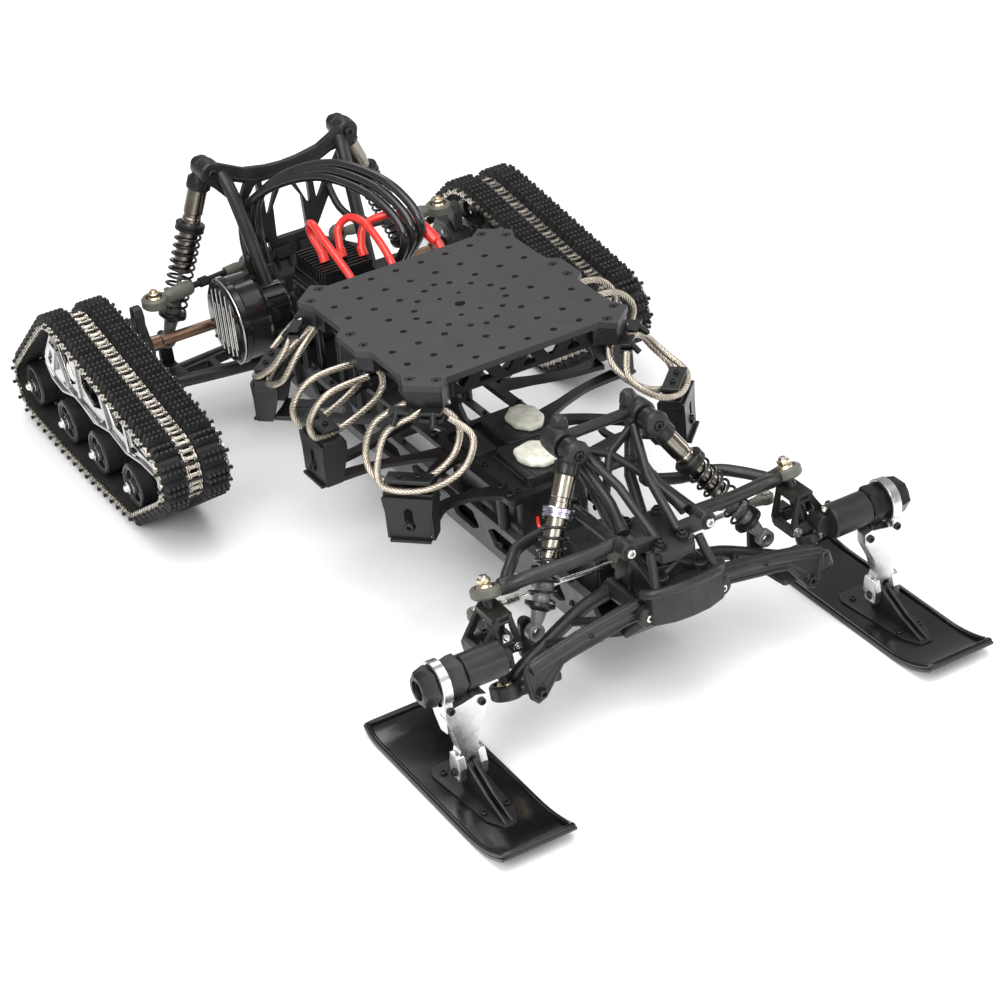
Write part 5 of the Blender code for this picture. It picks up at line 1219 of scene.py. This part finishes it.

    # ------------------------------------------------------------ road wheels: tyre, rim line, five spokes
    for k, (wx, wz) in enumerate(WHEELS):
        wb = f"r_wheel_{k + 1}_{tag}"
        w_ = Piece()
        y = s * 201
        w_.turn([(0, 7), (0, 19.2), (1.8, 21.6), (14, 21.7), (15, 20.6), (27, 20.6), (28, 21.7), (40.2, 21.6), (41.8, 20.0), (41.8, 17.6), (40.8, 17.2), (40.2, 15.4), (34, 14.6), (34, 6.2), (8, 6.2), (0, 7)], (wx, y, wz), (0, s, 0), 48)
        for i in range(5):
            a_ = tau * i / 5 + 0.2 * k
            d_ = Vector((cos(a_), 0, sin(a_)))
            n_ = Vector((-sin(a_), 0, cos(a_)))
            o_ = Vector((wx, 0, wz))
            vs = []
            for yy, th in ((33.5, 1.9), (39.6, 1.3)):
                for r_, k_ in ((6.0, 1.35), (16.2, 0.9)):
                    for sg in (-1, 1):
                        vs.append(o_ + d_ * r_ + n_ * (sg * th * k_) + Vector((0, s * (201 + yy), 0)))
            w_.add(vs, [(0, 2, 3, 1), (4, 5, 7, 6), (0, 1, 5, 4), (2, 6, 7, 3), (0, 4, 6, 2), (1, 3, 7, 5)])
        w_.turn([(33, 4.3), (33, 8.2), (40.6, 7.4), (41.6, 6.4), (41.6, 4.3), (33, 4.3)], (wx, y, wz), (0, s, 0), 28)
        w_.done(f"wheel_{k + 1}_{tag}", "tyre", wb, node=f"road_wheel_{k + 1}_{tag}")

    # ------------------------------------------------------------ drive sprocket and half-shaft
    db = f"r_drive_{tag}"
    g = []
    n = 24
    for i in range(n):
        for da, r_ in ((-0.36, 40.5), (-0.20, 41.0), (-0.10, 44.6), (0.10, 44.6), (0.20, 41.0), (0.36, 40.5)):
            a_ = tau * (i + da) / n
            g.append((RX + r_ * cos(a_), RZ + r_ * sin(a_)))
    cuts = [circle(RX + 27 * cos(tau * k / 6), RZ + 27 * sin(tau * k / 6), 7.5, 24) for k in range(6)]
    p, q = Piece(), Piece()
    for y0, y1 in ((216, 219.4),):
        a, b = span(s * y0, s * y1)
        p.prism([g] + cuts, a, b, "xz", edge=0.4)
    for y0, y1 in ((198, 203), (230.5, 233)):
        a, b = span(s * y0, s * y1)
        p.prism([circle(RX, RZ, 36, 56)] + cuts, a, b, "xz", edge=0.6)
    p.turn([(0, 0), (0, 17), (2, 19.5), (30, 19.5), (33, 17), (36, 10), (36, 0)], (RX, s * 197, RZ), (0, s, 0), 40)
    for k in range(8):
        a_ = tau * k / 8
        p.cyl((RX + 33 * cos(a_), s * 200, RZ + 33 * sin(a_)), (RX + 33 * cos(a_), s * 232, RZ + 33 * sin(a_)), 3.2, n=14)
    p.done(f"sprocket_{tag}", "nylon", db, node=f"sprocket_shaft_{tag}", bevel=0.3)
    q.turn([(0, 0), (0, 8.6), (9, 8.8), (10, 6.6), (12, 5.4), (96, 5.4), (98, 7.4), (112, 7.6), (112, 0)], (RX, s * 48.4, RZ), (0, s, 0), 30)
    q.done(f"half_shaft_{tag}", "shaft", db)
    st = Piece()
    st.nut((RX, s * 233, RZ), (0, s, 0), 9, 5)
    for k in range(6):
        a_ = tau * k / 6 + 0.5
        st.screw((RX + 14 * cos(a_), s * 232, RZ + 14 * sin(a_)), (0, s, 0), 2.2, 2.2)
    st.done(f"sprocket_nut_{tag}", "steel", db)

    # ------------------------------------------------------------ rear lower arm, upper link, hub carrier
    p, q = Piece(), Piece()
    p.cyl((-338, s * 50, 54), (-282, s * 50, 54), 8, n=26, ch=1.2)
    arm = [(-336, 52), (-284, 52), (-292, 98), (-299, 134), (-304, 142), (-317, 142), (-322, 134), (-328, 98)]
    hole1 = [(-324, 66), (-297, 66), (-302, 92), (-320, 92)]
    hole2 = [(-318, 100), (-303, 100), (-306, 124), (-315, 124)]
    rot_ = lambda L: [(x, s * y) for x, y in L]
    p.prism([rounded(rot_(arm), 4), rounded(rot_(hole1), 3), rounded(rot_(hole2), 3)], 50.6, 61, edge=1.4)
    for x0_, x1_ in ((-334, -320), (-286, -301)):
        p.tube([(x0_, s * 54, 57), (x1_, s * 140, 59)], 5.6, 16)
    p.cyl((-324, s * 152, 62), (-296, s * 152, 62), 6.4, n=24, ch=1)
    p.prism([rounded(rot_([(-318, 128), (-301, 128), (-301, 150), (-318, 150)]), 3)], 55, 65, edge=1.2)
    p.prism([rounded(rot_([(-337, 126), (-312, 126), (-312, 142), (-337, 142)]), 3)], 51.5, 63, edge=1.2)
    p.prism([rounded([(s * 127, 58), (s * 141, 58), (s * 140, 92), (s * 134, 98), (s * 128, 92)], 3)], -337, -331.4, "yz", edge=0.8)
    p.done(f"rear_arm_{tag}", "nylon", f"r_arm_{tag}", node=f"rear_lower_arm_{tag}")
    q.cyl((-334, s * 134, 92), (-322, s * 134, 92), 3.9, n=18)
    q.screw((-337, s * 134, 92), (-1, 0, 0), 4.0, 3.0)
    q.cyl((-341, s * 50, 54), (-279, s * 50, 54), 3.0, n=16)
    q.cyl((-328, s * 152, 62), (-292, s * 152, 62), 3.0, n=16)
    q.done(f"rear_arm_pins_{tag}", "black", f"r_arm_{tag}")

    a_, b_ = mir(R_UP_IN, s), mir(R_UP_OUT, s)
    d_ = (b_ - a_).normalized()
    p, q, br_ = Piece(), Piece(), Piece()
    p.ring(b_, (0, 0, 1), 12.4, 8.2, 10.5, 36, 1.8)
    p.tube([b_ - d_ * 11, b_ - d_ * 18, b_ - d_ * 36, b_ - d_ * 40], 6, 18, radii=[5.2, 6.6, 7.4, 6.2])
    p.ring(a_, (1, 0, 0), 8.4, 5.0, 9, 28, 1.2)
    p.tube([a_ + d_ * 7, a_ + d_ * 14, a_ + d_ * 26], 5, 16, radii=[4.2, 5.2, 5.0])
    p.done(f"rear_link_ends_{tag}", "olive", f"r_link_{tag}", node=f"rear_upper_link_{tag}")
    q.tube([a_ + d_ * 22, b_ - d_ * 36], 3.1, 14)
    m_ = (a_ + b_) / 2
    q.cyl(m_ - d_ * 6, m_ + d_ * 3, 4.8, n=6)
    q.ball(a_, 4.9, 20)
    q.done(f"rear_link_rod_{tag}", "black", f"r_link_{tag}")
    br_.ball(b_, 7.6, 26)
    br_.turn([(0, 0), (0, 5.0), (2.6, 5.4), (3.4, 4.6), (3.4, 0)], b_ + Vector((0, 0, 6.2)), (0, 0, 1), 22)
    br_.screw(b_ + Vector((0, 0, 9.4)), (0, 0, 1), 3.4, 2.4)
    br_.done(f"rear_link_ball_{tag}", "brass", f"r_link_{tag}")

    p, q = Piece(), Piece()
    hc = [(-330, 74), (-332, 112), (-322, 128), (-298, 128), (-289, 112), (-291, 74), (-300, 56), (-320, 56)]
    a, b = span(s * 161, s * 176)
    p.prism([rounded(hc, 5), circle(RX, RZ, 9, 30)], a, b, "xz", edge=1.4)
    p.ring((RX, s * 170, RZ), (0, 1, 0), 24, 12, 19, 44, 1.5)
    p.prism([rounded([(-303, 122), (-289, 122), (-287, 142), (-291, 150), (-301, 150)], 3)], span(s * 164.8, s * 174)[0], span(s * 164.8, s * 174)[1], "xz", edge=1.0)
    p.prism([rounded([(-322, 56), (-298, 56), (-296, 82), (-324, 82)], 3)], span(s * 160.6, s * 174)[0], span(s * 160.6, s * 174)[1], "xz", edge=1.2)
    p.done(f"hub_{tag}", "nylon", f"r_hub_{tag}", node=f"hub_carrier_{tag}")
    for k in range(6):
        an = tau * k / 6 + 0.3
        q.screw((RX + 17.5 * cos(an), s * 160.6, RZ + 17.5 * sin(an)), (0, -s, 0), 2.2, 1.4)
    q.done(f"hub_screws_{tag}", "steel", f"r_hub_{tag}")

# ---------------------------------------------------------------- floor, light and camera
def plain(name, colour, rough):
    mat = bpy.data.materials.new(name)
    mat.use_nodes = True
    b = mat.node_tree.nodes["Principled BSDF"]
    b.inputs["Roughness"].default_value = rough
    b.inputs["Base Color"].default_value = (*colour, 1)
    return mat


me = bpy.data.meshes.new("floor")
S = 14.0
me.from_pydata([(-S, -S, -0.0006), (S, -S, -0.0006), (S, S, -0.0006), (-S, S, -0.0006)], [], [(0, 1, 2, 3)])
ob = bpy.data.objects.new("floor", me)
bpy.context.scene.collection.objects.link(ob)
me.materials.append(plain("studio_floor", (0.93, 0.93, 0.93), 0.85))

world = bpy.data.worlds.new("studio")
bpy.context.scene.world = world
world.use_nodes = True
world.node_tree.nodes["Background"].inputs[0].default_value = (1.0, 1.0, 1.0, 1)
world.node_tree.nodes["Background"].inputs[1].default_value = 0.36


def area(name, at, aim, size, power, size_y=None):
    d = bpy.data.lights.new(name, "AREA")
    d.energy = power
    d.shape = "RECTANGLE"
    d.size = size
    d.size_y = size_y or size
    o = bpy.data.objects.new(name, d)
    bpy.context.scene.collection.objects.link(o)
    o.location = at
    o.rotation_euler = (Vector(aim) - Vector(at)).to_track_quat("-Z", "Y").to_euler()
    return o


area("overhead", (0.5, -0.3, 2.4), (0, 0, 0.1), 1.6, 24)
area("key", (1.5, -1.7, 1.7), (0, 0, 0.1), 1.0, 24)
area("left_strip", (0.6, 2.1, 1.0), (0, 0, 0.1), 0.6, 14, 1.8)
area("rear", (-1.6, 0.6, 2.2), (0, 0, 0.1), 1.0, 12)
d = bpy.data.lights.new("dome", "SUN")
d.energy = 1.9
d.angle = radians(80)
o = bpy.data.objects.new("dome", d)
bpy.context.scene.collection.objects.link(o)
o.rotation_euler = Vector((-0.42, 0.30, -1.0)).to_track_quat("-Z", "Y").to_euler()
area("front_low", (2.2, 0.3, 0.7), (0.1, 0, 0.1), 1.2, 9, 0.6)

az, el, roll = radians(-27.10), radians(31.20), radians(-6.17)
dist, focal = 2.7356 * 0.847, 2679.3
aim = Vector(((0.0405 + 0.038) * 0.847, 0.0, (-0.0099 + 0.068) * 0.847))
out = Vector((cos(el) * cos(az), cos(el) * sin(az), sin(el)))
fwd = -out
right = fwd.cross(Vector((0, 0, 1))).normalized()
up = right.cross(fwd)
cx = cos(roll) * right + sin(roll) * up
cy = -sin(roll) * right + cos(roll) * up
cam = bpy.data.cameras.new("camera")
cam.sensor_width = 36.0
cam.lens = focal * 36.0 / 1000.0
cam.clip_start, cam.clip_end = 0.05, 60
co = bpy.data.objects.new("camera", cam)
bpy.context.scene.collection.objects.link(co)
m4 = Matrix((cx, cy, -fwd)).transposed().to_4x4()
m4.translation = aim + out * dist
co.matrix_world = m4
bpy.context.scene.camera = co
bpy.context.scene.view_settings.view_transform = "Standard"

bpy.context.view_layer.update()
